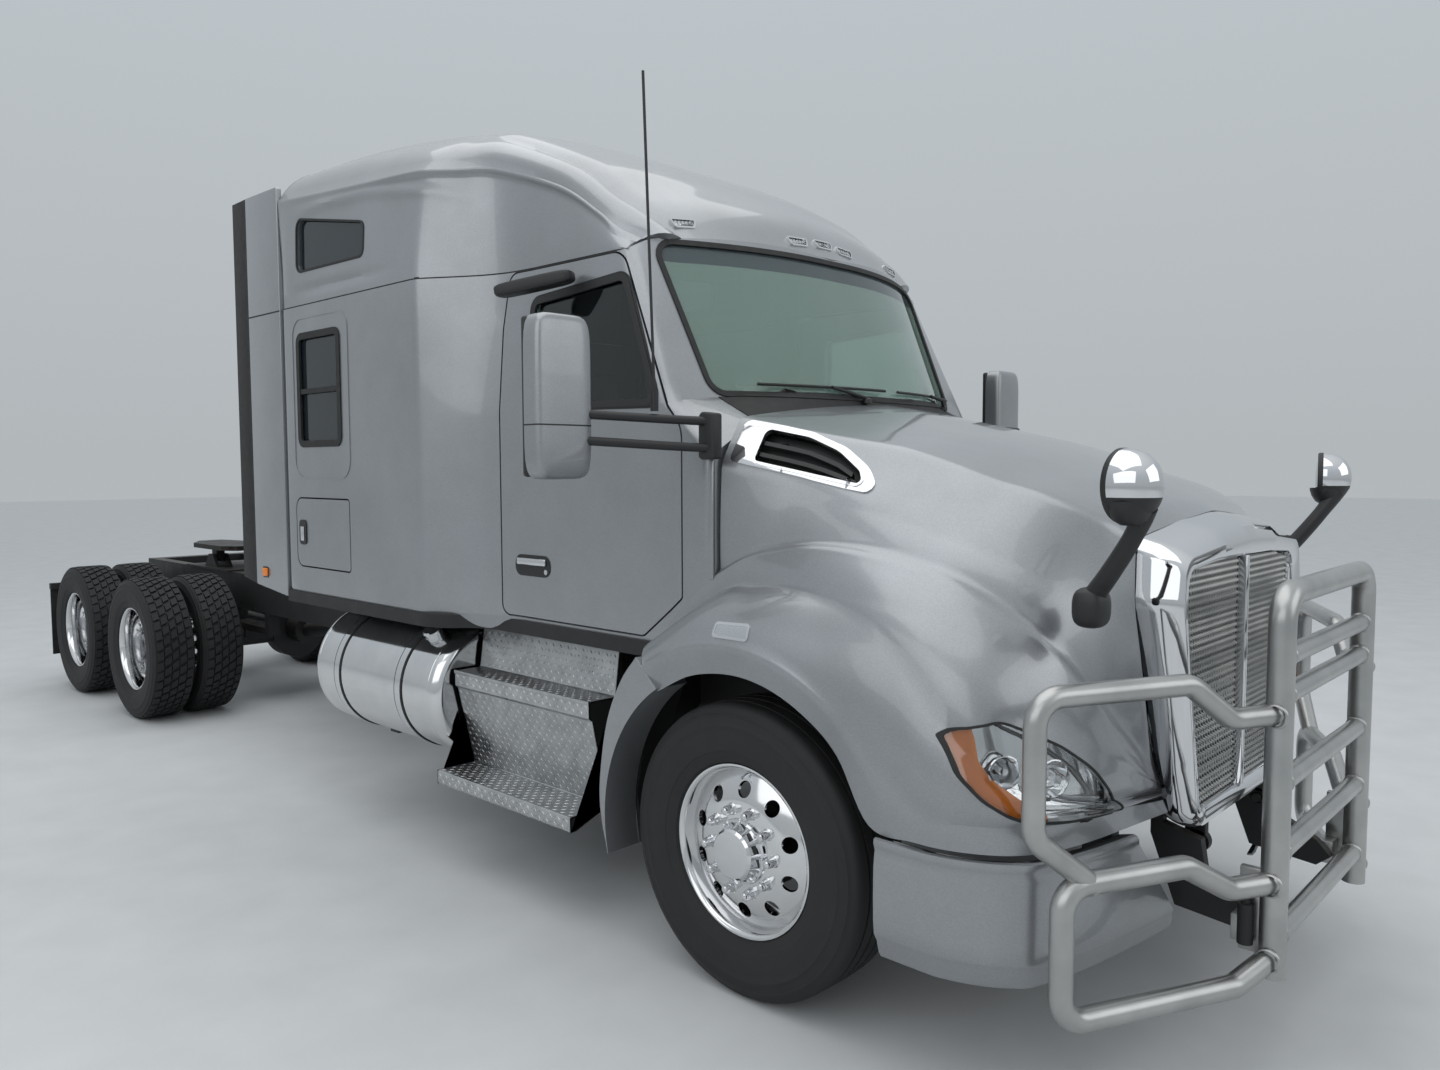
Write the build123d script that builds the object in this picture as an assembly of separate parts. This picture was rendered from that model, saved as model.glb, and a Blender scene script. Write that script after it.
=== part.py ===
from build123d import *
import math
import os

os.makedirs("parts", exist_ok=True)

# Semi truck tractor unit with a raised-roof sleeper, in millimetres.
# X is across the truck with the driver's side positive, Y runs to the rear and Z is up.
# While the pieces are made, Y is measured from the steer axle and Z from the ground.

# Clearances
SEAT_GAP = 0.3           # a turning or loosely seated face and what carries it
PANEL_GAP = 9.0          # between a door, hood or lid and the panels round it
GLASS_RECESS = 14.0      # how far a pane lies behind the outer skin

# Wheels and tyres
TYRE_R = 508.0
TYRE_W = 292.0
TREAD_W = 236.0
RIM_SEAT_R = 286.0
RIM_FLANGE_R = 298.0
RIM_W = 232.0
RIM_WALL = 12.0
STEER_TYRE_X = 1030.0
DUAL_OUTER_X = 1071.0
DUAL_SPACING = 337.0
HAND_HOLES = 10
HAND_HOLE_R = 27.0
HAND_HOLE_CIRCLE_R = 205.0

# Axles
FIRST_DRIVE_Y = 5880.0
TANDEM_SPREAD = 1320.0
KINGPIN_X = 864.0
KINGPIN_R = 24.0
STEER_ARM = 240.0
TIE_ROD_R = 18.0
AXLE_TUBE_R = 75.0
BANJO_R = 205.0

# Frame
RAIL_OUTER_X = 430.0
RAIL_FLANGE = 89.0
RAIL_WEB = 10.0
RAIL_TOP = 1000.0
RAIL_H = 270.0
FRAME_FRONT_Y = -1100.0
FRAME_REAR_Y = 7830.0
REAR_EXTENT_Y = 7850.0

# Cab and sleeper
CAB_FRONT_Y = 200.0
CAB_HALF_W = 1050.0
CAB_TOP_HALF_W = 1000.0
SLEEPER_HALF_W = 1220.0
CAB_BOTTOM = 1090.0
BELT_Z = 2030.0
SEAM_Z = 2640.0
FLARE_START_Y = 1520.0
FLARE_END_Y = 1900.0
SLEEPER_BACK_Y = 3240.0
WALL = 50.0
FLOOR_T = 60.0

# Windshield: the front edge at the centre line, leaning back as it rises
SCREEN_BOTTOM_Z = 2075.0
SCREEN_TOP_Z = 2700.0
SCREEN_BOTTOM_Y = 222.0
SCREEN_LEAN = 0.444
SCREEN_BOW = 200.0
SCREEN_HALF_W = 850.0
SCREEN_T = 8.0
PANE_T = 6.0

# Hood and bumper
HOOD_WALL = 22.0
HOOD_BOTTOM = 745.0
ARCH_R = 620.0
ARCH_Z = 500.0
ARCH_INNER_X = 860.0
BUMPER_TOP = 728.0
BUMPER_BOTTOM = 355.0
BUMPER_T = 40.0
NOSE_HALF_W = 1235.0
HOOD_PIVOT_Y = -1200.0
HOOD_PIVOT_Z = 620.0
HOOD_PIN_R = 15.0

# Brush guard
GUARD_POST_X = 475.0
GUARD_POST_Y = -1470.0
GUARD_POST_R = 38.0
GUARD_BAR_R = 30.0
GUARD_WING_R = 33.0
GUARD_UPPER_R = 31.0
GUARD_TOP = 1440.0
GUARD_BOTTOM = 330.0
GUARD_PIVOT_Y = -1380.0
GUARD_PIVOT_Z = 440.0
GUARD_PIN_R = 18.0

# The whole truck is centred on the origin along Y
FRONT_EXTENT_Y = GUARD_POST_Y - GUARD_POST_R
FRONT_AXLE_Y = -(FRONT_EXTENT_Y + REAR_EXTENT_Y) / 2


def block(x0, x1, y0, y1, z0, z1):
    return Pos((x0 + x1) / 2, (y0 + y1) / 2, (z0 + z1) / 2) * Box(x1 - x0, y1 - y0, z1 - z0)


def polygon(points):
    return make_face(Polyline(*points, close=True))


def prism_x(points, x0, x1):
    """A solid with an outline of (y, z) points, from x0 to x1."""
    return extrude(Plane.YZ.offset(x0) * polygon(points), x1 - x0)


def prism_y(points, y0, y1):
    """A solid with an outline of (x, z) points, from y0 to y1."""
    return extrude(Plane.XZ.offset(-y1) * polygon(points), y1 - y0)


def prism_z(points, z0, z1):
    """A solid with an outline of (x, y) points, from z0 to z1."""
    return extrude(Plane.XY.offset(z0) * polygon(points), z1 - z0)


def rod(start, end, radius):
    start, end = Vector(*start), Vector(*end)
    plane = Plane(origin=start, z_dir=end - start)
    return plane * Cylinder(radius, (end - start).length, align=(Align.CENTER, Align.CENTER, Align.MIN))


def tube(points, radius, bend):
    path = FilletPolyline(*points, radius=bend)
    return sweep(Plane(origin=path @ 0, z_dir=path % 0) * Circle(radius), path=path)


def lathe(points, x, y, z):
    """A solid turned about the line along X through (x, y, z), from (x, radius) points."""
    return Pos(x, y, z) * revolve(polygon(points), Axis.X)


def flip(shape):
    """The same piece on the other side of the truck."""
    return mirror(shape, about=Plane.YZ)


def write(name, *shapes):
    solids = []
    for shape in shapes:
        solids += shape.solids()
    export_step(Compound(solids).moved(Location((0, FRONT_AXLE_Y, 0))), f"parts/{name}.step")


# Cab and sleeper skins, as horizontal sections joined by straight lines
def screen_y(z):
    return SCREEN_BOTTOM_Y + SCREEN_LEAN * (z - SCREEN_BOTTOM_Z)


def flare(x0, y0, x1, y1):
    """Two equal arcs that carry the side from the cab's width out to the sleeper's."""
    half_x, half_y = (x1 - x0) / 2, (y1 - y0) / 2
    radius = (half_x ** 2 + half_y ** 2) / (2 * half_x)
    turn = math.asin(half_y / radius) / 2
    dx, dy = radius * (1 - math.cos(turn)), radius * math.sin(turn)
    first = ThreePointArc((x0, y0), (x0 + dx, y0 + dy), (x0 + half_x, y0 + half_y))
    second = ThreePointArc((x0 + half_x, y0 + half_y), (x1 - dx, y1 - dy), (x1, y1))
    return [first, second]


def plan_section(z, front, corner_x, corner_y, side_y, half_w, inset):
    """A closed plan outline at height z: bowed front, sides, flare and flat back."""
    w, s, back = half_w - inset, SLEEPER_HALF_W - inset, SLEEPER_BACK_Y - inset
    f, c, a = front + inset, corner_y + inset, side_y + inset
    cx = corner_x - inset / 2
    right = [Line((cx, c), (w, a)), Line((w, a), (w, FLARE_START_Y + inset))]
    right += flare(w, FLARE_START_Y + inset, s, FLARE_END_Y + inset)
    right += [Line((s, FLARE_END_Y + inset), (s, back))]
    left = [mirror(edge, about=Plane.YZ) for edge in right]
    nose = ThreePointArc((-cx, c), (0, f), (cx, c))
    tail = Line((-s, back), (s, back))
    return Plane.XY.offset(z) * make_face([nose, tail] + right + left)


# Columns: height, front at the centre, corner x, corner y, side y, half width
LOWER_BODY = (
    (CAB_BOTTOM, CAB_FRONT_Y - 5, 950, CAB_FRONT_Y, CAB_FRONT_Y + 15, CAB_HALF_W),
    (BELT_Z, CAB_FRONT_Y - 5, 950, CAB_FRONT_Y, CAB_FRONT_Y + 15, CAB_HALF_W),
)
GREENHOUSE = tuple(
    (z, screen_y(z), SCREEN_HALF_W, screen_y(z) + SCREEN_BOW, screen_y(z) + SCREEN_BOW + 40, half_w)
    for z, half_w in ((BELT_Z, CAB_HALF_W), (SEAM_Z, CAB_TOP_HALF_W))
)


def body_skin(inset):
    """The outer form of the cab and sleeper below the roof seam, drawn in by inset."""
    lower = loft([plan_section(*row, inset) for row in LOWER_BODY], ruled=True)
    upper = loft([plan_section(*row, inset) for row in GREENHOUSE], ruled=True)
    return lower + upper


# Roof cap, as sections along the truck
# Columns: y, half width at the seam, shoulder x, shoulder z, crown edge x, crown edge z, crown z
ROOF = (
    (455, 930, 925, 2650, 700, 2655, 2670),
    (690, 985, 975, 2690, 800, 2745, 2930),
    (870, 1000, 992, 2800, 850, 2890, 3040),
    (1120, 1015, 1005, 2920, 870, 3030, 3160),
    (1520, 1050, 1035, 3060, 890, 3180, 3300),
    (1710, 1135, 1110, 3105, 905, 3230, 3355),
    (1900, SLEEPER_HALF_W, 1190, 3140, 920, 3275, 3400),
    (2400, SLEEPER_HALF_W, 1205, 3200, 940, 3350, 3500),
    (SLEEPER_BACK_Y, SLEEPER_HALF_W, 1210, 3250, 960, 3430, 3580),
)


def roof_section(row, inset, bottom):
    y, base, shoulder_x, shoulder_z, edge_x, edge_z, crown_z = row
    b, sx, ex = base - inset, shoulder_x - inset, edge_x - inset / 2
    sz, ez, cz = shoulder_z - inset / 2, edge_z - inset, crown_z - inset
    right = [Line((b, bottom), (sx, sz)), Line((sx, sz), (ex, ez))]
    left = [mirror(edge, about=Plane.YZ) for edge in right]
    crown = ThreePointArc((-ex, ez), (0, cz), (ex, ez))
    return Plane.XZ.offset(-y) * make_face([Line((-b, bottom), (b, bottom)), crown] + right + left)


def roof_form(inset, bottom, rows):
    return loft([roof_section(row, inset, bottom) for row in rows], ruled=True)


def behind_screen(offset_y, z0, z1):
    """Everything behind the windshield's surface pushed back by offset_y, between two heights."""
    faces = []
    for z in (z0, z1):
        front = screen_y(z) + offset_y
        corner = front + SCREEN_BOW
        nose = ThreePointArc((-SCREEN_HALF_W, corner), (0, front), (SCREEN_HALF_W, corner))
        rim = Polyline((SCREEN_HALF_W, corner), (1400, corner + 60), (1400, 5000), (-1400, 5000),
                       (-1400, corner + 60), (-SCREEN_HALF_W, corner))
        faces.append(Plane.XY.offset(z) * make_face([nose] + rim.edges()))
    return loft(faces, ruled=True)


def screen_band(y0, y1, z0, z1, half_w):
    """A slab that follows the windshield, from y0 to y1 behind its outer surface."""
    slab = behind_screen(y0, z0, z1) - behind_screen(y1, z0 - 1, z1 + 1)
    return slab & block(-half_w, half_w, 0, 1500, z0, z1)


# Side openings in (y, z), right and left alike
DOOR = ((362, 1150), (362, 1950), (445, 2030), (690, 2595), (1450, 2595), (1478, 2400), (1478, 1150))
DOOR_WINDOW = ((500, 2045), (715, 2540), (1265, 2505), (1290, 2066))
SLEEPER_WINDOW = ((2590, 1917), (2590, 2498), (3050, 2498), (3050, 1917))
LUGGAGE_DOOR = ((2530, 1290), (2530, 1650), (3110, 1650), (3110, 1290))
ROOF_WINDOW = ((2340, 2805), (2340, 2970), (3030, 3090), (3030, 2810))

SIDE_CUT_X = 905.0

# Hinge pins of the doors and luggage doors, just inside the front edge and the outer skin
HINGE_PIN_R = 3.0
HINGE_INSET = 6.0
HINGE_PIN_DEPTH = 12.0
PILLAR_HINGE_Z = 1952.0

outer = body_skin(0)
shell = outer - body_skin(WALL)
pane_skin = body_skin(GLASS_RECESS) - body_skin(GLASS_RECESS + PANE_T)


def side_cut(points, right=True):
    x0, x1 = (-1400, -SIDE_CUT_X) if right else (SIDE_CUT_X, 1400)
    return prism_x(points, x0, x1)


def inset_outline(points, step):
    """The outline drawn in by step, keeping straight sides."""
    face = offset(polygon(points), -step, kind=Kind.INTERSECTION)
    return face.faces()[0]


def side_panel(points, step, x0, x1):
    return extrude(Plane.YZ.offset(x0) * inset_outline(points, step), x1 - x0)


def hinge_pin(half_w, front_y, z0, z1, radius=HINGE_PIN_R):
    """An upright pin for a side door whose opening starts at front_y, on the right side."""
    x, y = -(half_w - HINGE_INSET), front_y + PANEL_GAP + HINGE_INSET
    return rod((x, y, z0), (x, y, z1), radius)


screen_opening = screen_band(-300, 400, SCREEN_BOTTOM_Z, SCREEN_TOP_Z, SCREEN_HALF_W - 20)

floor_zone = block(-2000, 2000, -500, 5000, CAB_BOTTOM - 1, CAB_BOTTOM + FLOOR_T)
back_zone = block(-2000, 2000, SLEEPER_BACK_Y - WALL, 5000, CAB_BOTTOM + FLOOR_T, SEAM_Z + 1)
front_zone = block(-2000, 2000, -500, FLARE_START_Y, CAB_BOTTOM + FLOOR_T, SEAM_Z + 1)
side_zone = block(-2000, 2000, FLARE_START_Y, SLEEPER_BACK_Y - WALL, CAB_BOTTOM + FLOOR_T, SEAM_Z + 1)

cab_floor = outer & floor_zone
walls = shell - floor_zone
sleeper_back = walls & back_zone
cab_front = (walls & front_zone) - screen_opening
sleeper_sides = walls & side_zone
for right in (True, False):
    cab_front -= side_cut(DOOR, right)
    sleeper_sides -= side_cut(SLEEPER_WINDOW, right)
    sleeper_sides -= side_cut(LUGGAGE_DOOR, right)

door_front, door_bottom = DOOR[0]
luggage_front, luggage_bottom = LUGGAGE_DOOR[0]
luggage_top = LUGGAGE_DOOR[1][1]
reach = PANEL_GAP + HINGE_PIN_DEPTH
sill_pin = hinge_pin(CAB_HALF_W, door_front, door_bottom - 10, door_bottom + reach)
pillar_pin = hinge_pin(CAB_HALF_W, door_front, PILLAR_HINGE_Z - reach, PILLAR_HINGE_Z + 30)
luggage_pins = hinge_pin(SLEEPER_HALF_W, luggage_front, luggage_bottom - 10, luggage_bottom + reach)
luggage_pins += hinge_pin(SLEEPER_HALF_W, luggage_front, luggage_top - reach, luggage_top + 10)
cab_floor += [sill_pin, flip(sill_pin)]
cab_front += [pillar_pin, flip(pillar_pin)]
sleeper_sides += luggage_pins + flip(luggage_pins)
write("cab_floor", cab_floor)
write("sleeper_back", sleeper_back)
write("cab_front", cab_front)
write("sleeper_sides", sleeper_sides)

# Doors with their panes
door_wall = walls & side_panel(DOOR, PANEL_GAP, -1400, -SIDE_CUT_X)
door_right = door_wall - side_cut(DOOR_WINDOW)
bore_r = HINGE_PIN_R + SEAT_GAP
bore_reach = reach + SEAT_GAP
door_right -= hinge_pin(CAB_HALF_W, door_front, door_bottom, door_bottom + bore_reach, bore_r)
door_right -= hinge_pin(CAB_HALF_W, door_front, PILLAR_HINGE_Z - bore_reach, PILLAR_HINGE_Z + 30, bore_r)
door_glass_right = pane_skin & side_cut(DOOR_WINDOW)
write("door_right", door_right)
write("door_left", flip(door_right))
write("door_glass_right", door_glass_right)
write("door_glass_left", flip(door_glass_right))

# Luggage doors at the foot of the sleeper
luggage_right = walls & side_panel(LUGGAGE_DOOR, PANEL_GAP, -1400, -SIDE_CUT_X)
luggage_right -= hinge_pin(SLEEPER_HALF_W, luggage_front, luggage_bottom, luggage_bottom + bore_reach, bore_r)
luggage_right -= hinge_pin(SLEEPER_HALF_W, luggage_front, luggage_top - bore_reach, luggage_top, bore_r)
write("luggage_door_right", luggage_right)
write("luggage_door_left", flip(luggage_right))

# Roof cap
roof_outer = roof_form(0, SEAM_Z, ROOF) & behind_screen(0, SEAM_Z, SCREEN_TOP_Z + 1200)
roof_inner = roof_form(WALL, SEAM_Z - 10, ROOF) & behind_screen(WALL * 2, SEAM_Z - 10, SCREEN_TOP_Z + 1200)
roof_inner &= block(-2000, 2000, 0, SLEEPER_BACK_Y - WALL, 0, 5000)
roof_cap = roof_outer - roof_inner - screen_opening
for right in (True, False):
    roof_cap -= side_cut(ROOF_WINDOW, right)
write("roof_cap", roof_cap)

# Fixed glass
windshield = screen_band(GLASS_RECESS, GLASS_RECESS + SCREEN_T, SCREEN_BOTTOM_Z, SCREEN_TOP_Z,
                         SCREEN_HALF_W - 20)
write("windshield", windshield)
sleeper_pane = pane_skin & side_cut(SLEEPER_WINDOW)
roof_skin = roof_form(GLASS_RECESS, SEAM_Z, ROOF) - roof_form(GLASS_RECESS + PANE_T, SEAM_Z - 10, ROOF)
roof_pane = roof_skin & side_cut(ROOF_WINDOW)
write("sleeper_glass", sleeper_pane, flip(sleeper_pane), roof_pane, flip(roof_pane))

# Side extenders behind the sleeper, with their rubber edges
EXTENDER_END_Y = SLEEPER_BACK_Y + 410
EXTENDER_RUBBER_Y = EXTENDER_END_Y + 210
EXTENDER_T = 34.0
EXTENDER_TOP = 3250.0
extender_outline = (
    (SLEEPER_BACK_Y, CAB_BOTTOM + 20),
    (SLEEPER_BACK_Y, EXTENDER_TOP),
    (EXTENDER_END_Y, EXTENDER_TOP - 20),
    (EXTENDER_END_Y, CAB_BOTTOM + 60),
)
rubber_outline = (
    (EXTENDER_END_Y, CAB_BOTTOM + 60),
    (EXTENDER_END_Y, EXTENDER_TOP - 20),
    (EXTENDER_RUBBER_Y, EXTENDER_TOP - 40),
    (EXTENDER_RUBBER_Y, CAB_BOTTOM + 90),
)
extender = prism_x(extender_outline, -SLEEPER_HALF_W, -SLEEPER_HALF_W + EXTENDER_T)
extender += prism_x(rubber_outline, -SLEEPER_HALF_W, -SLEEPER_HALF_W + EXTENDER_T / 2)
write("side_extenders", extender, flip(extender))

# Frame rails, crossmembers, cab mounts and the brackets at the front
rail_inner_x = RAIL_OUTER_X - RAIL_FLANGE
rail = block(-RAIL_OUTER_X, -rail_inner_x, FRAME_FRONT_Y, FRAME_REAR_Y, RAIL_TOP - RAIL_H, RAIL_TOP)
rail -= block(-RAIL_OUTER_X + RAIL_WEB, -rail_inner_x + 1, FRAME_FRONT_Y - 1, FRAME_REAR_Y + 1,
              RAIL_TOP - RAIL_H + RAIL_WEB, RAIL_TOP - RAIL_WEB)
frame = rail + flip(rail)
# Columns: y, length along the frame, bottom, top
CROSSMEMBERS = (
    (FRAME_FRONT_Y + 60, 120, RAIL_TOP - RAIL_H, RAIL_TOP - 60),
    (1700, 90, 870, 970),
    (3400, 90, 870, 970),
    (4700, 90, 870, 970),
    (FIRST_DRIVE_Y + TANDEM_SPREAD / 2, 160, 780, 950),
    (FRAME_REAR_Y - 60, 120, RAIL_TOP - RAIL_H, RAIL_TOP),
)
for y, length, bottom, top in CROSSMEMBERS:
    web_x = RAIL_OUTER_X - RAIL_WEB
    frame += block(-web_x, web_x, y - length / 2, y + length / 2, bottom, top)
CAB_MOUNTS_Y = (450, 1650, 3100)
for y in CAB_MOUNTS_Y:
    for x in (-385, 385):
        frame += block(x - 40, x + 40, y - 60, y + 60, RAIL_TOP, CAB_BOTTOM)
TANK_BRACKETS_Y = (2150, 2750)

# Fuel tanks, each on two brackets
TANK_R = 311.0
TANK_X = 885.0
TANK_Z = 750.0
TANK_FRONT_Y = 1830.0
TANK_REAR_Y = 3020.0
TANK_DISH = 55.0
half_tank = (TANK_REAR_Y - TANK_FRONT_Y) / 2
tank = Rot(90, 0, 0) * Cylinder(TANK_R, 2 * half_tank)
tank = Pos(-TANK_X, TANK_FRONT_Y + half_tank, TANK_Z) * tank
tank = fillet(tank.edges().filter_by(GeomType.CIRCLE), TANK_DISH)
write("fuel_tanks", tank, flip(tank))
for y in TANK_BRACKETS_Y:
    arm = block(-TANK_X, -RAIL_OUTER_X, y - 40, y + 40, TANK_Z - TANK_R - 50, RAIL_TOP - 30)
    arm -= Pos(-TANK_X, y, TANK_Z) * (Rot(90, 0, 0) * Cylinder(TANK_R, 200))
    arm -= block(-TANK_X - 1, -TANK_X + TANK_R * 0.75, y - 50, y + 50, TANK_Z, RAIL_TOP)
    frame += arm + flip(arm)

# Steps between the front wheel and the tank
STEP_OUTER_X = 1200.0
STEP_FRONT_Y = 850.0
STEP_REAR_Y = 1810.0
STEP_T = 40.0
TREAD_LOW_Z = 440.0
TREAD_HIGH_Z = 880.0
# The stepped plate in (x, z): low tread, riser, high tread, riser up to the cab, and back below them
step_profile = (
    (-STEP_OUTER_X, TREAD_LOW_Z), (-1000, TREAD_LOW_Z), (-1085, 800), (-1100, 810), (-1100, TREAD_HIGH_Z),
    (-960, TREAD_HIGH_Z), (-930, CAB_BOTTOM), (-880, CAB_BOTTOM), (-910, TREAD_HIGH_Z - STEP_T),
    (-1045, TREAD_HIGH_Z - STEP_T), (-960, TREAD_LOW_Z - 65), (-STEP_OUTER_X, TREAD_LOW_Z - 65),
)
step = prism_y(step_profile, STEP_FRONT_Y, STEP_REAR_Y)
STEP_BRACKET = (
    (-RAIL_OUTER_X, 760), (-RAIL_OUTER_X, 960), (-895, 1000), (-905, TREAD_HIGH_Z - STEP_T - 5),
    (-1040, TREAD_HIGH_Z - STEP_T - 5), (-965, TREAD_LOW_Z - 20), (-900, TREAD_LOW_Z - 20),
)
for y in (STEP_FRONT_Y + 40, STEP_REAR_Y - 60):
    step += prism_y(STEP_BRACKET, y, y + 20)
write("steps", step, flip(step))

# Fixed arch panel between the front wheel and the steps
QUARTER_OUTER = ((330, 1040), (437, 1133), (595, 870), (638, 634), (602, 366), (560, 366))
quarter = prism_x(QUARTER_OUTER, -1225, -1062)
quarter += prism_x(((440, CAB_BOTTOM), (620, CAB_BOTTOM), (640, 634), (602, 366), (560, 366)), -1063, -930)
quarter -= Pos(-1100, 0, TYRE_R) * (Rot(0, 90, 0) * Cylinder(ARCH_R - 5, 500))
write("quarter_panels", quarter, flip(quarter))

# Hood: sections along the truck, cut to the nose's plan outline
# Columns: y, crown z, shoulder x, shoulder z, crease x, crease z
HOOD_TOP = (
    (CAB_FRONT_Y - 15, 2060, 1030, 1826, 1040, 1376),
    (-100, 2000, 970, 1760, 1040, 1500),
    (-380, 1930, 935, 1700, 1040, 1543),
    (-740, 1815, 860, 1590, 1020, 1443),
    (-1050, 1700, 780, 1475, 960, 1250),
    (-1300, 1560, 640, 1390, 900, 1015),
)
# Columns: y, crease x, crease z, outer shoulder z
FENDER = (
    (390, 1070, 1200, 1170),
    (170, 1065, 1376, 1335),
    (-50, 1050, 1509, 1415),
    (-300, 1045, 1545, 1437),
    (-566, 1040, 1511, 1375),
    (-768, 1020, 1425, 1253),
    (-1000, 980, 1280, 1060),
    (-1300, 900, 1015, 850),
)
FENDER_SHOULDER_X = 1200.0
FENDER_INNER_X = 800.0
# Columns: x, y of the nose and the bumper seen from above
NOSE_PLAN = ((NOSE_HALF_W, -790), (1200, -907), (1145, -1000), (1070, -1064), (856, -1126), (603, -1170),
             (366, -1203))


def hood_section(row, inset):
    y, crown, shoulder_x, shoulder_z, crease_x, crease_z = row
    sx, sz = shoulder_x - inset, shoulder_z - inset
    cx, cz, bottom = crease_x - inset, crease_z - inset / 2, HOOD_BOTTOM - inset * 4
    right = [Line((cx, bottom), (cx, cz)), Line((cx, cz), (sx, sz))]
    left = [mirror(edge, about=Plane.YZ) for edge in right]
    top = ThreePointArc((-sx, sz), (0, crown - inset), (sx, sz))
    return Plane.XZ.offset(-y) * make_face([Line((-cx, bottom), (cx, bottom)), top] + right + left)


def fender_section(row, inset):
    y, crease_x, crease_z, outer_z = row
    lip = NOSE_HALF_W - inset
    bottom = HOOD_BOTTOM - inset * 4
    points = ((FENDER_INNER_X, bottom), (FENDER_INNER_X, crease_z - inset), (crease_x, crease_z - inset),
              (FENDER_SHOULDER_X - inset, outer_z - inset), (lip, outer_z - 70 - inset), (lip, bottom))
    return Plane.XZ.offset(-y) * polygon([(-x, z) for x, z in points])


def nose_plan(inset, rear_y):
    side = [(NOSE_HALF_W - inset, rear_y)] + [(x - inset * 0.8, y + inset) for x, y in NOSE_PLAN]
    return side + [(-x, y) for x, y in reversed(side)]


def hood_form(inset):
    body = loft([hood_section(row, inset) for row in HOOD_TOP], ruled=True)
    fender = loft([fender_section(row, inset) for row in FENDER], ruled=True)
    return (body + fender + flip(fender)) & prism_z(nose_plan(inset, 500), 0, 2500)


arch = Pos(-1150, 0, ARCH_Z) * (Rot(0, 90, 0) * Cylinder(ARCH_R, 2 * (1150 - ARCH_INNER_X)))
under_fender_tail = block(-1062, 1062, CAB_FRONT_Y - 15, 600, 0, 2500)
hood_outer = hood_form(0)
hood_solid = hood_outer - under_fender_tail
hood_inner = hood_form(HOOD_WALL)
hood_inner += block(-960, 960, 0, 600, 0, 1300)
hood_wall = hood_solid - hood_inner - arch - flip(arch)
hood_wall -= prism_x(((150, 0), (150, 1000), (322, 1048), (447, 1152), (600, 1152), (600, 0)), -2000, 2000)
# The fender's tail is cut back near the cab, where the door's front corner turns out
DOOR_SWEEP = ((-1000, 350), (-1100, 350), (-1210, 405), (-1210, 600), (-1000, 600))
door_sweep = prism_z(DOOR_SWEEP, 1000, 2500)
hood_wall -= door_sweep
hood_wall -= flip(door_sweep)

# Outlines of the grille's surround in (x, z)
GRILLE_OUTER = ((-610, 1500), (0, 1600), (610, 1500), (600, 1330), (450, 690), (-450, 690), (-600, 1330))
GRILLE_INNER = ((-520, 1445), (0, 1530), (520, 1445), (510, 1320), (385, 745), (-385, 745), (-510, 1320))
GRILLE_FRONT_Y = -1248.0
GRILLE_REAR_Y = -1130.0
MESH_Y = -1195.0
MESH_T = 12.0
CENTRE_BAR_W = 26.0
grille_hole = prism_y(GRILLE_OUTER, -1400, -900)
LAMP_OUTLINE = ((820, 860), (900, 985), (1040, 1045), (1100, 1082), (1180, 1050), (1240, 1040),
                (1240, 890), (1100, 845), (1000, 825), (860, 835))
LAMP_REAR_Y = -740.0
LAMP_DEPTH = 70.0
lamp_cut = prism_y([(-x, z) for x, z in LAMP_OUTLINE], -1400, LAMP_REAR_Y)
INTAKE_OUTLINE = ((165, 1831), (164, 1960), (39, 1950), (-137, 1905), (-341, 1860), (-438, 1722))
intake_cut = prism_x(INTAKE_OUTLINE, -1200, -700)

headlamp = (hood_outer - hood_form(LAMP_DEPTH)) & lamp_cut
intake = (hood_outer - hood_form(HOOD_WALL)) & intake_cut
hood_shell = hood_wall - grille_hole
for cut in (lamp_cut, intake_cut):
    hood_shell -= cut
    hood_shell -= flip(cut)
write("headlamps", headlamp, flip(headlamp))
write("hood_intakes", intake, flip(intake))

# Grille: bright surround, centre bar and mesh, on two hinge arms
surround = prism_y(GRILLE_OUTER, GRILLE_FRONT_Y, GRILLE_REAR_Y)
surround -= prism_y(GRILLE_INNER, GRILLE_FRONT_Y - 1, GRILLE_REAR_Y + 1)
bar_foot = GRILLE_INNER[4][1]
bar_head = GRILLE_INNER[1][1] - (GRILLE_INNER[1][1] - GRILLE_INNER[2][1]) * CENTRE_BAR_W / 2 / GRILLE_INNER[2][0]
centre_bar = block(-CENTRE_BAR_W / 2, CENTRE_BAR_W / 2, GRILLE_FRONT_Y, MESH_Y, bar_foot, bar_head)
HINGE_ARM_X = 300.0
HINGE_ARM_W = 30.0
for side in (-1, 1):
    x0 = side * HINGE_ARM_X
    a, b = x0 - HINGE_ARM_W / 2, x0 + HINGE_ARM_W / 2
    arm = block(a, b, HOOD_PIVOT_Y - 25, HOOD_PIVOT_Y + 40, HOOD_PIVOT_Z, 700)
    arm += rod((a, HOOD_PIVOT_Y, HOOD_PIVOT_Z), (b, HOOD_PIVOT_Y, HOOD_PIVOT_Z), 2 * HOOD_PIN_R)
    arm -= rod((a - 1, HOOD_PIVOT_Y, HOOD_PIVOT_Z), (b + 1, HOOD_PIVOT_Y, HOOD_PIVOT_Z), HOOD_PIN_R + SEAT_GAP)
    surround += arm
write("grille_surround", surround + centre_bar)
mesh = prism_y(GRILLE_INNER, MESH_Y, MESH_Y + MESH_T)
write("grille_mesh", mesh)

# Fender mirrors on bent black arms, with round feet on the fender
MIRROR_X = 970.0
MIRROR_Y = -1230.0
MIRROR_Z = 1756.0
MIRROR_ARM_R = 17.0
MIRROR_FOOT = (864, -1082)
# Columns: share of the way from the foot to the head, height
MIRROR_ARM = ((0.0, 1420), (0.28, 1485), (0.75, 1640), (0.97, 1710))
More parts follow.
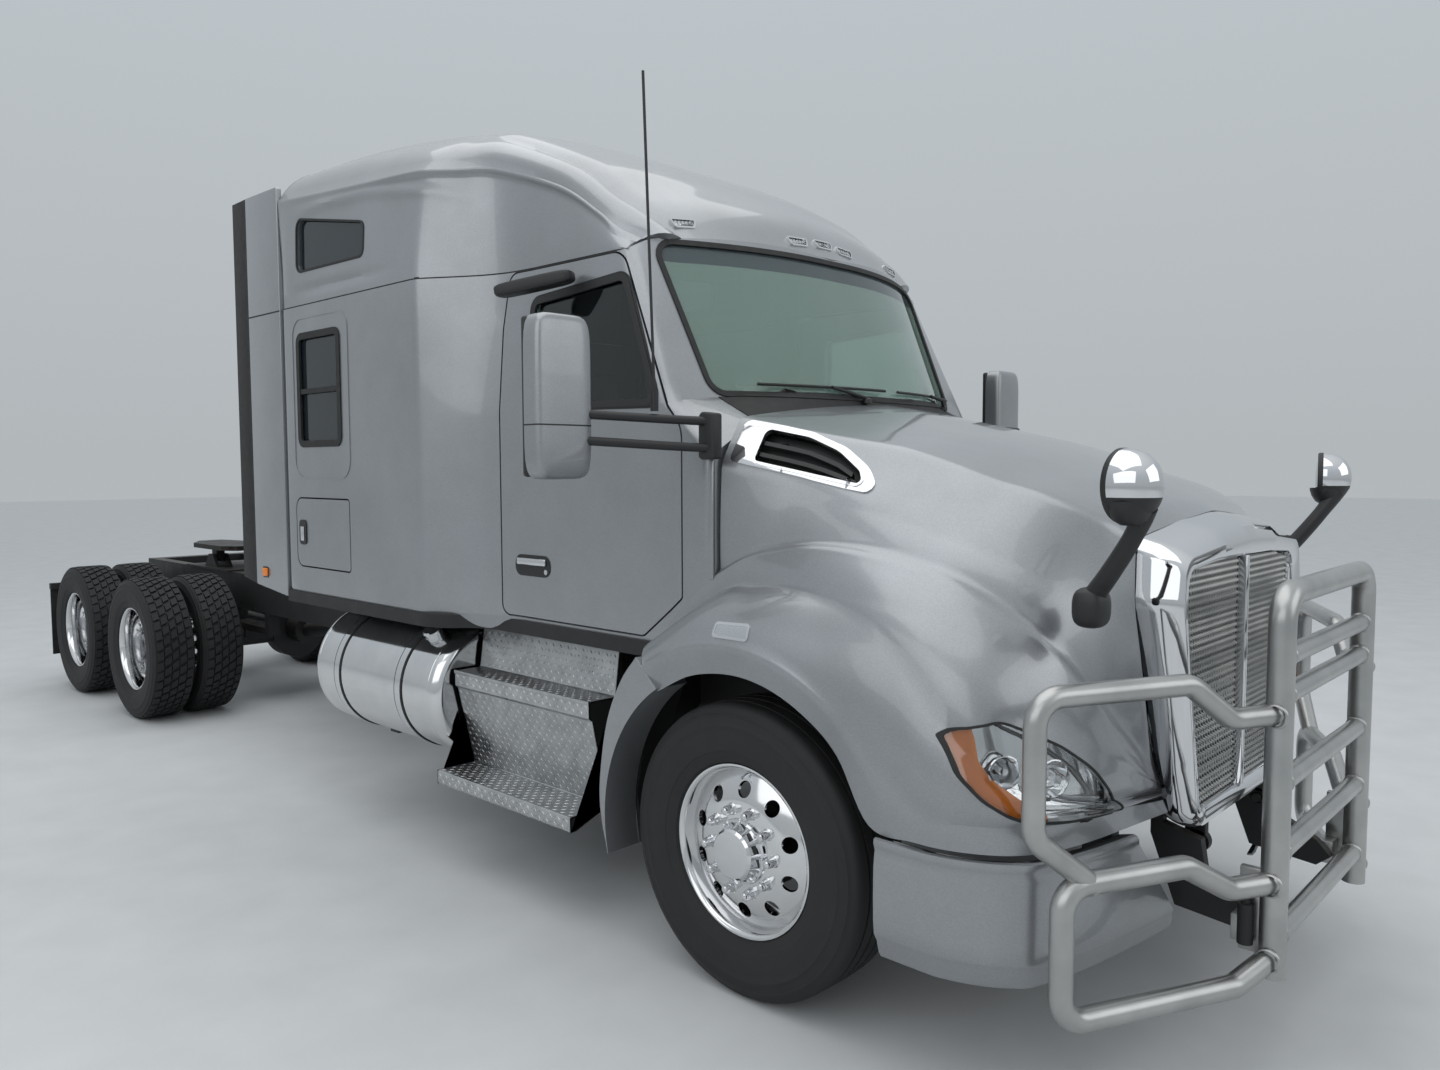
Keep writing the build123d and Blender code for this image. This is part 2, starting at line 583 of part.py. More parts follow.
# Columns: radius, height from the middle
MIRROR_HEAD = ((0, -108), (45, -100), (75, -70), (89, -25), (89, 25), (75, 70), (45, 100), (0, 108))
MIRROR_BASE = ((0, -52), (30, -46), (48, -20), (48, 20), (30, 46), (0, 52))
MIRROR_BASE_Z = 1410.0
mirror_head = revolve(Plane.XZ * polygon(MIRROR_HEAD), Axis.Z)
mirror_base = revolve(Plane.XZ * polygon(MIRROR_BASE), Axis.Z)
mirrors = []
for side in (-1, 1):
    run_x, run_y = MIRROR_X - MIRROR_FOOT[0], MIRROR_Y - MIRROR_FOOT[1]
    arm_line = [(side * (MIRROR_FOOT[0] + t * run_x), MIRROR_FOOT[1] + t * run_y, z) for t, z in MIRROR_ARM]
    mirror_piece = tube(arm_line, MIRROR_ARM_R, 30)
    mirror_piece += Pos(side * MIRROR_FOOT[0], MIRROR_FOOT[1], MIRROR_BASE_Z) * mirror_base - hood_outer
    mirror_piece += Pos(side * MIRROR_X, MIRROR_Y, MIRROR_Z) * mirror_head
    mirrors.append(mirror_piece)
write("fender_mirrors", *mirrors)
write("hood_shell", hood_shell)

# Bumper band, with a notch for the hood hinge and the guard's brackets
bumper = prism_z(nose_plan(0, -600), BUMPER_BOTTOM, BUMPER_TOP)
bumper -= prism_z(nose_plan(BUMPER_T, -500), BUMPER_BOTTOM - 1, BUMPER_TOP + 1)
BUMPER_NOTCH = ((-700, BUMPER_TOP + 1), (-600, 600), (-430, 400), (430, 400), (600, 600),
                (700, BUMPER_TOP + 1))
bumper -= prism_y(BUMPER_NOTCH, -1400, -1050)
bumper_stay = block(-1150, -RAIL_OUTER_X, -1000, -960, 480, 620)
bumper_stay += block(-RAIL_OUTER_X - 60, -RAIL_OUTER_X, -1000, -900, 480, 860)
bumper += bumper_stay + flip(bumper_stay)
for side in (-1, 1):
    x0 = side * 680
    bumper += block(x0 - 20, x0 + 20, -1135, -980, 480, 560)
write("bumper", bumper)

# Brackets on the frame that carry the hood pin and the guard pin
for side in (-1, 1):
    x0, x1 = sorted((side * 350, side * 385))
    cheek = ((FRAME_FRONT_Y + 20, RAIL_TOP - 40), (FRAME_FRONT_Y - 18, RAIL_TOP - 40), (FRAME_FRONT_Y - 18, 680),
             (HOOD_PIVOT_Y - 35, HOOD_PIVOT_Z + 30), (HOOD_PIVOT_Y - 50, HOOD_PIVOT_Z - 60),
             (GUARD_PIVOT_Y, GUARD_PIVOT_Z + 50), (GUARD_PIVOT_Y - 45, GUARD_PIVOT_Z),
             (GUARD_PIVOT_Y, GUARD_PIVOT_Z - 38), (-1160, 425), (FRAME_FRONT_Y + 20, 640))
    frame += prism_x(cheek, x0, x1)
    pin_x0, pin_x1 = sorted((side * 270, side * 360))
    frame += rod((pin_x0, HOOD_PIVOT_Y, HOOD_PIVOT_Z), (pin_x1, HOOD_PIVOT_Y, HOOD_PIVOT_Z), HOOD_PIN_R)
    pin_x0, pin_x1 = sorted((side * 360, side * 460))
    frame += rod((pin_x0, GUARD_PIVOT_Y, GUARD_PIVOT_Z), (pin_x1, GUARD_PIVOT_Y, GUARD_PIVOT_Z), GUARD_PIN_R)
write("chassis_frame", frame)

# Brush guard: two posts, cross bars, swept wings and foot plates
# Columns: height of each cross bar
GUARD_BARS = (1425, 1262, 1150, 895, 690, 445)
WING_SWEEP = math.atan2(370, 740)


def on_wing(side, along, z):
    """A point on the swept-back wing plane of one side, along it from the post."""
    x = side * (GUARD_POST_X + along * math.cos(WING_SWEEP))
    y = GUARD_POST_Y + along * math.sin(WING_SWEEP)
    return (x, y, z)


# Columns: distance along the wing from the post, height. The upper loop ends inside the lower one's top run.
UPPER_WING = ((0, 1090), (180, 1090), (330, 1193), (835, 1193), (835, 835), (640, 700))
LOWER_WING = ((0, 610), (170, 612), (330, 700), (740, 700), (740, 325), (140, 325), (0, 390))
WING_BEND = 70.0
FOOT_T = 24.0
FOOT_TOP = 640.0
PIVOT_EYE_X = 395.0
PIVOT_EYE_HALF = 40.0
guard = None
for side in (-1, 1):
    post_x = side * GUARD_POST_X
    post = rod((post_x, GUARD_POST_Y, GUARD_BOTTOM), (post_x, GUARD_POST_Y, GUARD_TOP), GUARD_POST_R)
    for wing, radius in ((UPPER_WING, GUARD_UPPER_R), (LOWER_WING, GUARD_WING_R)):
        post += tube([on_wing(side, along, z) for along, z in wing], radius, WING_BEND)
    foot_x0, foot_x1 = post_x - FOOT_T / 2, post_x + FOOT_T / 2
    foot = block(foot_x0, foot_x1, GUARD_POST_Y, GUARD_PIVOT_Y, GUARD_BOTTOM + 60, FOOT_TOP)
    eye_x0, eye_x1 = sorted((post_x + side * FOOT_T / 2, side * PIVOT_EYE_X))
    eye_z0, eye_z1 = GUARD_PIVOT_Z - PIVOT_EYE_HALF, GUARD_PIVOT_Z + PIVOT_EYE_HALF
    foot += block(eye_x0, eye_x1, GUARD_PIVOT_Y - PIVOT_EYE_HALF, GUARD_PIVOT_Y + 30, eye_z0, eye_z1)
    pin_x0, pin_x1 = sorted((side * 300, side * 600))
    foot -= rod((pin_x0, GUARD_PIVOT_Y, GUARD_PIVOT_Z), (pin_x1, GUARD_PIVOT_Y, GUARD_PIVOT_Z),
                GUARD_PIN_R + SEAT_GAP)
    post += foot
    guard = post if guard is None else guard + post
for z in GUARD_BARS:
    guard += rod((-GUARD_POST_X, GUARD_POST_Y, z), (GUARD_POST_X, GUARD_POST_Y, z), GUARD_BAR_R)
write("guard_frame", guard)

# Door mirrors on twin arms from the cowl, with the antenna on the right
mirror_head = block(-1630, -1395, 440, 560, 1765, 2320)
mirror_head = fillet(mirror_head.edges(), 45)
mirror_arms = rod((-1075, 190, 1870), (-1450, 480, 1900), 16)
mirror_arms += rod((-1075, 200, 1965), (-1450, 490, 1990), 16)
mirror_arms += block(-1110, -CAB_HALF_W, 215, 300, 1840, 2000)
mirror_arms += block(-1110, -1062, 160, 216, 1840, 2000)
mirror_arms += block(-1250, -1210, 302, 338, 1965, 2000)
door_mirror = mirror_head + mirror_arms
write("door_mirrors", door_mirror, flip(door_mirror))
antenna = rod((-1230, 320, 2000), (-1230, 320, 2070), 14) + rod((-1230, 320, 2065), (-1235, 360, 3150), 5)
write("antenna", antenna)

# Engine with gearbox, and the radiator behind the grille
engine = block(-330, 330, -820, CAB_FRONT_Y - 20, 640, 1440) + block(-330, 330, -820, 420, 640, 1060)
engine += block(-210, 210, 419, 1300, 640, 1000)
write("engine_block", engine)
write("radiator", block(-500, 500, -1060, -880, RAIL_TOP, 1520))

# Steer axle beam with its kingpins and leaf springs
BEAM_Z = TYRE_R
beam_outline = ((-900, 470), (-700, 450), (-600, 400), (600, 400), (700, 450), (900, 470), (900, 550),
                (700, 530), (600, 490), (-600, 490), (-700, 530), (-900, 550))
BEAM_HALF_T = 55.0
KINGPIN_BOSS_R = 52.0
beam = prism_y(beam_outline, -BEAM_HALF_T, BEAM_HALF_T)
beam &= block(-KINGPIN_X, KINGPIN_X, -BEAM_HALF_T, BEAM_HALF_T, 0, 2 * BEAM_Z)
for side in (-1, 1):
    x = side * KINGPIN_X
    beam += Pos(x, 0, BEAM_Z) * Cylinder(KINGPIN_BOSS_R, 110)
    beam += Pos(x, 0, BEAM_Z) * Cylinder(KINGPIN_R, 240)
# One side of the leaf pack in (y, z), from its lower middle to its eye and back along the top
SPRING_LEAF = ((-780, 730), (-700, 690), (-300, 600), (300, 600), (700, 690), (780, 730), (740, 730),
               (300, 645), (-300, 645), (-740, 730))
for side in (-1, 1):
    x0, x1 = sorted((side * 345, side * 425))
    beam += prism_x(SPRING_LEAF, x0, x1)
    beam += block(x0, x1, -80, 80, 480, 610)
write("steer_axle", beam)

# Steering knuckles: two ears on the kingpin, spindle and steering arm
EAR_IN = 58.0
EAR_OUT = 112.0
SPINDLE_R = 42.0
SPINDLE_END_X = 1120.0
knuckle = block(-KINGPIN_X - 105, -KINGPIN_X - 60, -70, 70, BEAM_Z - EAR_OUT, BEAM_Z + EAR_OUT)
for low, high in ((-EAR_OUT, -EAR_IN), (EAR_IN, EAR_OUT)):
    ear = Pos(-KINGPIN_X, 0, BEAM_Z + (low + high) / 2) * Cylinder(50, high - low)
    ear += block(-KINGPIN_X - 105, -KINGPIN_X, -50, 50, BEAM_Z + low, BEAM_Z + high)
    knuckle += ear
ARM_TOP = BEAM_Z - EAR_OUT + 26
knuckle += block(-KINGPIN_X - 26, -KINGPIN_X + 26, 0, STEER_ARM, BEAM_Z - EAR_OUT, ARM_TOP)
knuckle += Pos(-KINGPIN_X, STEER_ARM, (BEAM_Z - EAR_OUT + ARM_TOP) / 2) * Cylinder(26, 26)
knuckle += rod((-KINGPIN_X, STEER_ARM, BEAM_Z - EAR_OUT), (-KINGPIN_X, STEER_ARM, BEAM_Z - EAR_OUT - 45), 12)
knuckle += rod((-KINGPIN_X - 60, 0, BEAM_Z), (-SPINDLE_END_X, 0, BEAM_Z), SPINDLE_R)
knuckle -= Pos(-KINGPIN_X, 0, BEAM_Z) * Cylinder(KINGPIN_R + SEAT_GAP, 400)
write("knuckle_right", knuckle)
write("knuckle_left", flip(knuckle))

ROD_Z = BEAM_Z - EAR_OUT - 24
tie_rod = rod((-KINGPIN_X + 30, STEER_ARM, ROD_Z), (KINGPIN_X - 30, STEER_ARM, ROD_Z), TIE_ROD_R)
for side in (-1, 1):
    eye = Pos(side * KINGPIN_X, STEER_ARM, ROD_Z) * Cylinder(34, 2 * TIE_ROD_R)
    tie_rod += eye
    tie_rod -= Pos(side * KINGPIN_X, STEER_ARM, ROD_Z) * Cylinder(12 + SEAT_GAP, 100)
write("tie_rod", tie_rod)

# Tyres and rims
half_w, half_t = TYRE_W / 2, TREAD_W / 2
half_r = RIM_W / 2
# Half of the tyre's section from the bead to the tread: x from the middle, radius
TYRE_SIDE = ((half_r - 14, RIM_SEAT_R + SEAT_GAP), (half_r - 14, 300), (half_w - 12, 340), (half_w, 400),
             (half_w - 8, 455), (half_t + 6, 492), (half_t - 6, 503))
tyre_profile = [(-x, r) for x, r in TYRE_SIDE] + [(0, TYRE_R)] + list(reversed(TYRE_SIDE))
barrel = (
    (-half_r, RIM_FLANGE_R), (-half_r, RIM_SEAT_R - RIM_WALL), (half_r, RIM_SEAT_R - RIM_WALL),
    (half_r, RIM_FLANGE_R), (half_r - 12, RIM_FLANGE_R), (half_r - 13, RIM_SEAT_R),
    (-half_r + 13, RIM_SEAT_R), (-half_r + 12, RIM_FLANGE_R),
)
# The disc runs from the barrel to the hub: x towards the outside of the wheel, radius
steer_disc = ((40, 276), (62, 276), (95, 170), (100, 60), (76, 60), (70, 165))
outer_disc = ((-100, 276), (-78, 276), (-140, 170), (-146, 60), (-168.5, 60), (-168.5, 175))


def wheel_tyre(x):
    return lathe(tyre_profile, x, 0, TYRE_R)


def wheel_rim(x, disc, outward):
    rim = lathe(barrel, 0, 0, 0) + lathe([(outward * p, r) for p, r in disc], 0, 0, 0)
    for i in range(HAND_HOLES):
        hole = Pos(0, 0, HAND_HOLE_CIRCLE_R) * (Rot(0, 90, 0) * Cylinder(HAND_HOLE_R, 500))
        rim -= Rot(360 / HAND_HOLES * i, 0, 0) * hole
    return Pos(x, 0, TYRE_R) * rim


HUB_CAP = ((75, SPINDLE_R + SEAT_GAP), (75, 130), (105, 130), (120, 95), (165, 90), (168, 0), (128, 0),
           (128, SPINDLE_R + SEAT_GAP))
steer_hub_inner = ((-40, SPINDLE_R + SEAT_GAP), (-40, 150), (-20, 150), (-20, 85), (76, 75),
                   (76, SPINDLE_R + SEAT_GAP))
steer_tyre = wheel_tyre(-STEER_TYRE_X)
steer_rim = wheel_rim(-STEER_TYRE_X, steer_disc, -1)
steer_rim += lathe([(-p, r) for p, r in HUB_CAP], -STEER_TYRE_X, 0, TYRE_R)
steer_rim += lathe([(-p, r) for p, r in steer_hub_inner], -STEER_TYRE_X, 0, TYRE_R)
write("steer_tyre_right", steer_tyre)
write("steer_tyre_left", flip(steer_tyre))
write("steer_rim_right", steer_rim)
write("steer_rim_left", flip(steer_rim))

inner_x = DUAL_OUTER_X - DUAL_SPACING
DRIVE_SPINDLE_R = 60.0
hub_x = DUAL_OUTER_X - 168.5
drive_hub = ((-60, DRIVE_SPINDLE_R + SEAT_GAP), (-60, 175), (0, 175), (35, 120), (110, 110), (120, 0), (70, 0),
             (70, DRIVE_SPINDLE_R + SEAT_GAP))
dual_tyres = Compound(wheel_tyre(-DUAL_OUTER_X).solids() + wheel_tyre(-inner_x).solids())
dual_rims = wheel_rim(-DUAL_OUTER_X, outer_disc, -1) + wheel_rim(-inner_x, outer_disc, 1)
dual_rims += lathe([(-p, r) for p, r in drive_hub], -hub_x, 0, TYRE_R)
AXLES = (("front", FIRST_DRIVE_Y), ("rear", FIRST_DRIVE_Y + TANDEM_SPREAD))
for name, y in AXLES:
    tyres, rims = Pos(0, y, 0) * dual_tyres, Pos(0, y, 0) * dual_rims
    write(f"drive_tyres_{name}_right", tyres)
    write(f"drive_tyres_{name}_left", flip(tyres))
    write(f"drive_rims_{name}_right", rims)
    write(f"drive_rims_{name}_left", flip(rims))

# Drive axles: tapered tubes, round differential and the spindle ends, with the drive shafts
axles = None
for name, y in AXLES:
    housing = rod((-560, y, TYRE_R), (560, y, TYRE_R), AXLE_TUBE_R)
    housing += rod((-hub_x - 60, y, TYRE_R), (hub_x + 60, y, TYRE_R), DRIVE_SPINDLE_R)
    housing += Pos(0, y, TYRE_R) * (Rot(90, 0, 0) * Cylinder(BANJO_R, 160))
    housing += Pos(0, y - 160, TYRE_R + 30) * (Rot(90, 0, 0) * Cylinder(110, 200))
    axles = housing if axles is None else axles + housing
first, second = FIRST_DRIVE_Y, FIRST_DRIVE_Y + TANDEM_SPREAD
axles += rod((0, 1300, 800), (0, 3600, 800), 55) + rod((0, 3600, 800), (0, first - 250, TYRE_R + 30), 55)
axles += rod((0, first + 70, TYRE_R + 20), (0, second - 250, TYRE_R + 30), 45)
write("drive_axles", axles)

# Trailing arms, air springs and hangers of the tandem
arms = None
for name, y in AXLES:
    for side in (-1, 1):
        x = side * (RAIL_OUTER_X - 45)
        arm = block(x - 38, x + 38, y - 480, y + 330, TYRE_R + 60, TYRE_R + 110)
        arm += block(x - 38, x + 38, y - 90, y + 90, TYRE_R, TYRE_R + 70)
        arm += block(x - 38, x + 38, y - 520, y - 440, TYRE_R + 60, RAIL_TOP - RAIL_H)
        low, high = TYRE_R + 110, RAIL_TOP - RAIL_H
        arm += Pos(x, y + 250, (low + high) / 2) * Cylinder(115, high - low)
        arms = arm if arms is None else arms + arm
arms -= rod((-700, first, TYRE_R), (700, first, TYRE_R), AXLE_TUBE_R)
arms -= rod((-700, second, TYRE_R), (700, second, TYRE_R), AXLE_TUBE_R)
write("tandem_suspension", arms)

# Fifth wheel: base on the rails, plate that tilts on its cross pins
FIFTH_Y = FIRST_DRIVE_Y + TANDEM_SPREAD / 2 - 120
PLATE_TOP = 1195.0
PLATE_T = 36.0
FIFTH_PIN_Z = 1090.0
FIFTH_PIN_R = 22.0
KINGPIN_BORE_R = 25.7
base = block(-460, 460, FIFTH_Y - 420, FIFTH_Y + 420, RAIL_TOP, RAIL_TOP + 14)
for side in (-1, 1):
    for x0 in (300, 400):
        a, b = sorted((side * x0, side * (x0 + 24)))
        ear = ((-120, RAIL_TOP + 14), (-40, FIFTH_PIN_Z + 25), (40, FIFTH_PIN_Z + 25), (120, RAIL_TOP + 14))
        base += prism_x([(FIFTH_Y + y, z) for y, z in ear], a, b)
    a, b = sorted((side * 301, side * 423))
    base += rod((a, FIFTH_Y, FIFTH_PIN_Z), (b, FIFTH_Y, FIFTH_PIN_Z), FIFTH_PIN_R)
write("fifth_wheel_base", base)
plate_outline = ((-460, -300), (-380, -420), (380, -420), (460, -300), (460, 250), (330, 480), (150, 480),
                 (60, 150), (-60, 150), (-150, 480), (-330, 480), (-460, 250))
plate = prism_z([(x, FIFTH_Y + y) for x, y in plate_outline], PLATE_TOP - PLATE_T, PLATE_TOP)
plate -= Pos(0, FIFTH_Y, PLATE_TOP - PLATE_T / 2) * Cylinder(KINGPIN_BORE_R, 2 * PLATE_T)
plate -= block(-18, 18, FIFTH_Y, FIFTH_Y + 200, PLATE_TOP - PLATE_T - 1, PLATE_TOP + 1)
for side in (-1, 1):
    a, b = sorted((side * 330, side * 394))
    lug = block(a, b, FIFTH_Y - 45, FIFTH_Y + 45, FIFTH_PIN_Z - 35, PLATE_TOP - PLATE_T)
    lug -= rod((a - 1, FIFTH_Y, FIFTH_PIN_Z), (b + 1, FIFTH_Y, FIFTH_PIN_Z), FIFTH_PIN_R + SEAT_GAP)
    plate += lug
write("fifth_wheel_plate", plate)

# Deck plate behind the sleeper
write("deck_plate", block(-480, 480, 3700, 5050, RAIL_TOP, RAIL_TOP + 12))

# Mud flaps on hangers at the end of the frame
FLAP_Y = REAR_EXTENT_Y - 60
flap = block(-1215, -600, FLAP_Y - 5, FLAP_Y + 5, 240, 790)
flap += block(-1215, -RAIL_OUTER_X, FLAP_Y - 25, FLAP_Y + 25, 790, 840)
lamp_bar = block(-420, 420, FRAME_REAR_Y, REAR_EXTENT_Y, 800, 940)
write("mud_flaps", flap, flip(flap), lamp_bar)

# Interior: seats, dashboard with the steering wheel, and the bunk
SEAT_X = 520.0
floor_top = CAB_BOTTOM + FLOOR_T
seat = block(-SEAT_X - 150, -SEAT_X + 150, 1000, 1350, floor_top, 1420)
seat += block(-SEAT_X - 260, -SEAT_X + 260, 900, 1430, 1420, 1560)
seat += prism_x(((1330, 1560), (1430, 1560), (1540, 2250), (1450, 2250)), -SEAT_X - 250, -SEAT_X + 250)
write("seats", seat, flip(seat))
DASH_HALF_W = 980.0
DASH_OUTLINE = ((CAB_FRONT_Y, 1500), (CAB_FRONT_Y, 1960), (420, 1985), (640, 1900), (690, 1560), (560, 1480))
dash = prism_x(DASH_OUTLINE, -DASH_HALF_W, DASH_HALF_W) & body_skin(WALL + SEAT_GAP)
dash += rod((SEAT_X, 560, 1680), (SEAT_X, 780, 1785), 35)
wheel = Plane(origin=(SEAT_X, 780, 1785), z_dir=(0, 0.9, 0.43))
dash += wheel * Torus(225, 16) + wheel * Box(440, 40, 16) + wheel * Cylinder(60, 30)
write("dashboard", dash)
bunk = block(-SLEEPER_HALF_W + WALL, SLEEPER_HALF_W - WALL, 2430, SLEEPER_BACK_Y - WALL, 1720, 1870)
write("bunk", bunk)
print("front axle y:", FRONT_AXLE_Y)
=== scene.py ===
# %% [markdown]
# # A silver highway tractor in cells
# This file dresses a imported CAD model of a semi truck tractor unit. Each step has a note like this one, which says
# what the piece is on the real truck and how it could be made, and then short code cells that make it. The packed
# model is loaded first, because every piece here has to sit on it and move with its bodies.

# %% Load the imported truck
import math
import bmesh
import bpy
import numpy as np
from mathutils import Matrix, Vector


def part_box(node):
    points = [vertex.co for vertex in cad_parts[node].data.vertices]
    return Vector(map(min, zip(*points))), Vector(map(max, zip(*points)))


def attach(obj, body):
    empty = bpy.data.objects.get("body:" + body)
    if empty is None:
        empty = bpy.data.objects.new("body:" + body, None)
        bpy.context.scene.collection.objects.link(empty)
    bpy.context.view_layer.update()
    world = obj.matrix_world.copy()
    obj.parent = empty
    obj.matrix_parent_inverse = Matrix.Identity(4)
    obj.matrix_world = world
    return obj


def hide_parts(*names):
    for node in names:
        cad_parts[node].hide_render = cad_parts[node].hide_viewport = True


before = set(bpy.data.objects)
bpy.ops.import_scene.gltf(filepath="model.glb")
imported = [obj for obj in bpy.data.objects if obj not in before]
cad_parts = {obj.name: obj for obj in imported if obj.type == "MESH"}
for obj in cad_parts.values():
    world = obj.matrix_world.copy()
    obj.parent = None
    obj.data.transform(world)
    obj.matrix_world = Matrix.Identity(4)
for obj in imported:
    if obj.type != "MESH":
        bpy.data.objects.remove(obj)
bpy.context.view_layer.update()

hub_low, hub_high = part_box("steer_rim_right")
AXLE_Y = (hub_low.y + hub_high.y) / 2

# %% [markdown]
# ## Parts as points and faces
# A truck body can be made with modifiers on many objects, or as plain lists of points and faces that are shaped by
# small functions and become objects only at the end. The second way is quicker to read and to run: a part is three
# arrays, and every helper takes a part and gives a new one. Y is measured from the steer axle, as a workshop
# drawing would, and is shifted to the model's frame when the object is made.

# %% A part, and what can be done to it
class Part:
    def __init__(self, points, faces, marks=None):
        self.points = np.asarray(points, float).reshape(-1, 3)
        self.faces = [tuple(int(i) for i in face) for face in faces]
        self.marks = list(marks) if marks is not None else [0] * len(self.faces)


def joined(*parts):
    points, faces, marks, start = [], [], [], 0
    for part in parts:
        points.append(part.points)
        faces += [tuple(i + start for i in face) for face in part.faces]
        marks += part.marks
        start += len(part.points)
    return Part(np.vstack(points), faces, marks)


def moved(part, x=0.0, y=0.0, z=0.0):
    return Part(part.points + np.array([x, y, z]), part.faces, part.marks)


def turned(part, angle, axis="X", centre=(0, 0, 0)):
    """The part turned about an axis through centre, by an angle in degrees."""
    turn = np.array(Matrix.Rotation(math.radians(angle), 3, axis))
    return Part((part.points - centre) @ turn.T + centre, part.faces, part.marks)


def other_side(part):
    """The same part on the other side of the truck, with its faces still pointing out."""
    return Part(part.points * np.array([-1, 1, 1]), [face[::-1] for face in part.faces], part.marks)


SIDES = ((1, "left"), (-1, "right"))


def on_side(part, side):
    """A part drawn on the left, put on its side: 1 for left and -1 for right."""
    return part if side > 0 else other_side(part)


def both(part):
    return joined(part, other_side(part))

# %% Open a part in bmesh, change it and read it back
def to_bmesh(part):
    bm = bmesh.new()
    points = [bm.verts.new(p) for p in part.points]
    for face, mark in zip(part.faces, part.marks):
        if len(set(face)) > 2:
            new = bm.faces.get([points[i] for i in face]) or bm.faces.new([points[i] for i in face])
            new.material_index = mark
    return bm


def from_bmesh(bm):
    bm.verts.ensure_lookup_table()
    bm.verts.index_update()
    points = [tuple(v.co) for v in bm.verts]
    faces = [[v.index for v in face.verts] for face in bm.faces]
    marks = [face.material_index for face in bm.faces]
    bm.free()
    return Part(points, faces, marks)


def welded(part, distance=1e-5):
    bm = to_bmesh(part)
    bmesh.ops.remove_doubles(bm, verts=bm.verts, dist=distance)
    return from_bmesh(bm)


def eased(part, width, steps=2, angle=30):
    """The part with every edge sharper than the angle rounded off, as a pressed or cast piece has."""
    bm = to_bmesh(part)
    bmesh.ops.recalc_face_normals(bm, faces=bm.faces)
    edges = [e for e in bm.edges if len(e.link_faces) == 2 and e.calc_face_angle(0) > math.radians(angle)]
    bmesh.ops.bevel(bm, geom=edges, offset=width, segments=steps, profile=0.5, affect="EDGES", clamp_overlap=True)
    return from_bmesh(bm)

# %% Turn modifiers into plain meshes
def shaped(part, kind, **settings):
    """The part after one Blender modifier."""
    mesh = bpy.data.meshes.new("work")
    mesh.from_pydata([tuple(p) for p in part.points], [], part.faces)
    mesh.polygons.foreach_set("material_index", part.marks)
    worker = bpy.data.objects.new("work", mesh)
    for _ in range(1 + max(part.marks, default=0)):
        mesh.materials.append(None)
    bpy.context.scene.collection.objects.link(worker)
    modifier = worker.modifiers.new("shape", kind)
    for name, value in settings.items():
        setattr(modifier, name, value)
    bpy.context.view_layer.update()
    result = worker.evaluated_get(bpy.context.evaluated_depsgraph_get()).to_mesh()
    points = np.zeros(len(result.vertices) * 3)
    result.vertices.foreach_get("co", points)
    faces = [tuple(p.vertices) for p in result.polygons]
    marks = [p.material_index for p in result.polygons]
    bpy.data.objects.remove(worker)
    bpy.data.meshes.remove(mesh)
    return Part(points, faces, marks)


def thick(part, depth, inner=0):
    """A sheet given thickness on its inner side. inner is added to the marks of the inner faces."""
    bm = to_bmesh(part)
    bmesh.ops.remove_doubles(bm, verts=bm.verts, dist=1e-5)
    bm.normal_update()
    bm.verts.index_update()
    count = len(bm.verts)
    points = [tuple(v.co) for v in bm.verts]
    points += [tuple(v.co - v.normal * depth * min(v.calc_shell_factor(), 1.3)) for v in bm.verts]
    faces, marks = [], []
    for face in bm.faces:
        corners = [v.index for v in face.verts]
        faces += [corners, [i + count for i in reversed(corners)]]
        marks += [face.material_index, face.material_index + inner]
    for edge in bm.edges:
        if len(edge.link_loops) == 1:
            loop = edge.link_loops[0]
            a, b = loop.vert.index, loop.link_loop_next.vert.index
            faces.append([b, a, a + count, b + count])
            marks.append(loop.face.material_index)
    bm.free()
    return Part(points, faces, marks)


def pushed(part, depth):
    """The part moved along its own normals, inward if depth is negative."""
    bm = to_bmesh(part)
    bm.normal_update()
    shifts = [v.normal * depth for v in bm.verts]
    for vert, shift in zip(bm.verts, shifts):
        vert.co += shift
    return from_bmesh(bm)


def less(part, cutter):
    """The part with the cutter's volume taken away."""
    mesh = bpy.data.meshes.new("cutter")
    mesh.from_pydata([tuple(p) for p in cutter.points], [], cutter.faces)
    tool = bpy.data.objects.new("cutter", mesh)
    bpy.context.scene.collection.objects.link(tool)
    result = shaped(part, "BOOLEAN", operation="DIFFERENCE", object=tool, solver="EXACT")
    bpy.data.objects.remove(tool)
    bpy.data.meshes.remove(mesh)
    return result

# %% Simple forms that the pieces are made of
def block(x0, x1, y0, y1, z0, z1):
    points = [(x, y, z) for z in (z0, z1) for y in (y0, y1) for x in (x0, x1)]
    faces = [(0, 2, 3, 1), (4, 5, 7, 6), (0, 1, 5, 4), (2, 6, 7, 3), (0, 4, 6, 2), (1, 3, 7, 5)]
    return Part(points, faces)


def sheet(rows, ring=False, capped=False):
    """Faces over a grid of points. A ring joins each row's end to its start, caps close the first and last row."""
    rows = np.asarray(rows, float)
    count, width = rows.shape[:2]
    across = width if ring else width - 1
    faces = []
    for r in range(count - 1):
        for c in range(across):
            d = (c + 1) % width
            faces.append((r * width + c, r * width + d, (r + 1) * width + d, (r + 1) * width + c))
    if capped:
        faces.append(tuple(range(width))[::-1])
        faces.append(tuple((count - 1) * width + c for c in range(width)))
    return Part(rows.reshape(-1, 3), faces)


def prism(outline, axis, low, high):
    """A solid with the outline's points in the plane across an axis, from low to high."""
    outline = np.asarray(outline, float)
    a, b = outline[:, 0], outline[:, 1]
    rows = []
    for level in (low, high):
        along = np.full(len(a), level)
        rows.append(np.stack({"x": (along, a, b), "y": (a, along, b), "z": (a, b, along)}[axis], axis=1))
    return facing_out(sheet(rows, ring=True, capped=True))


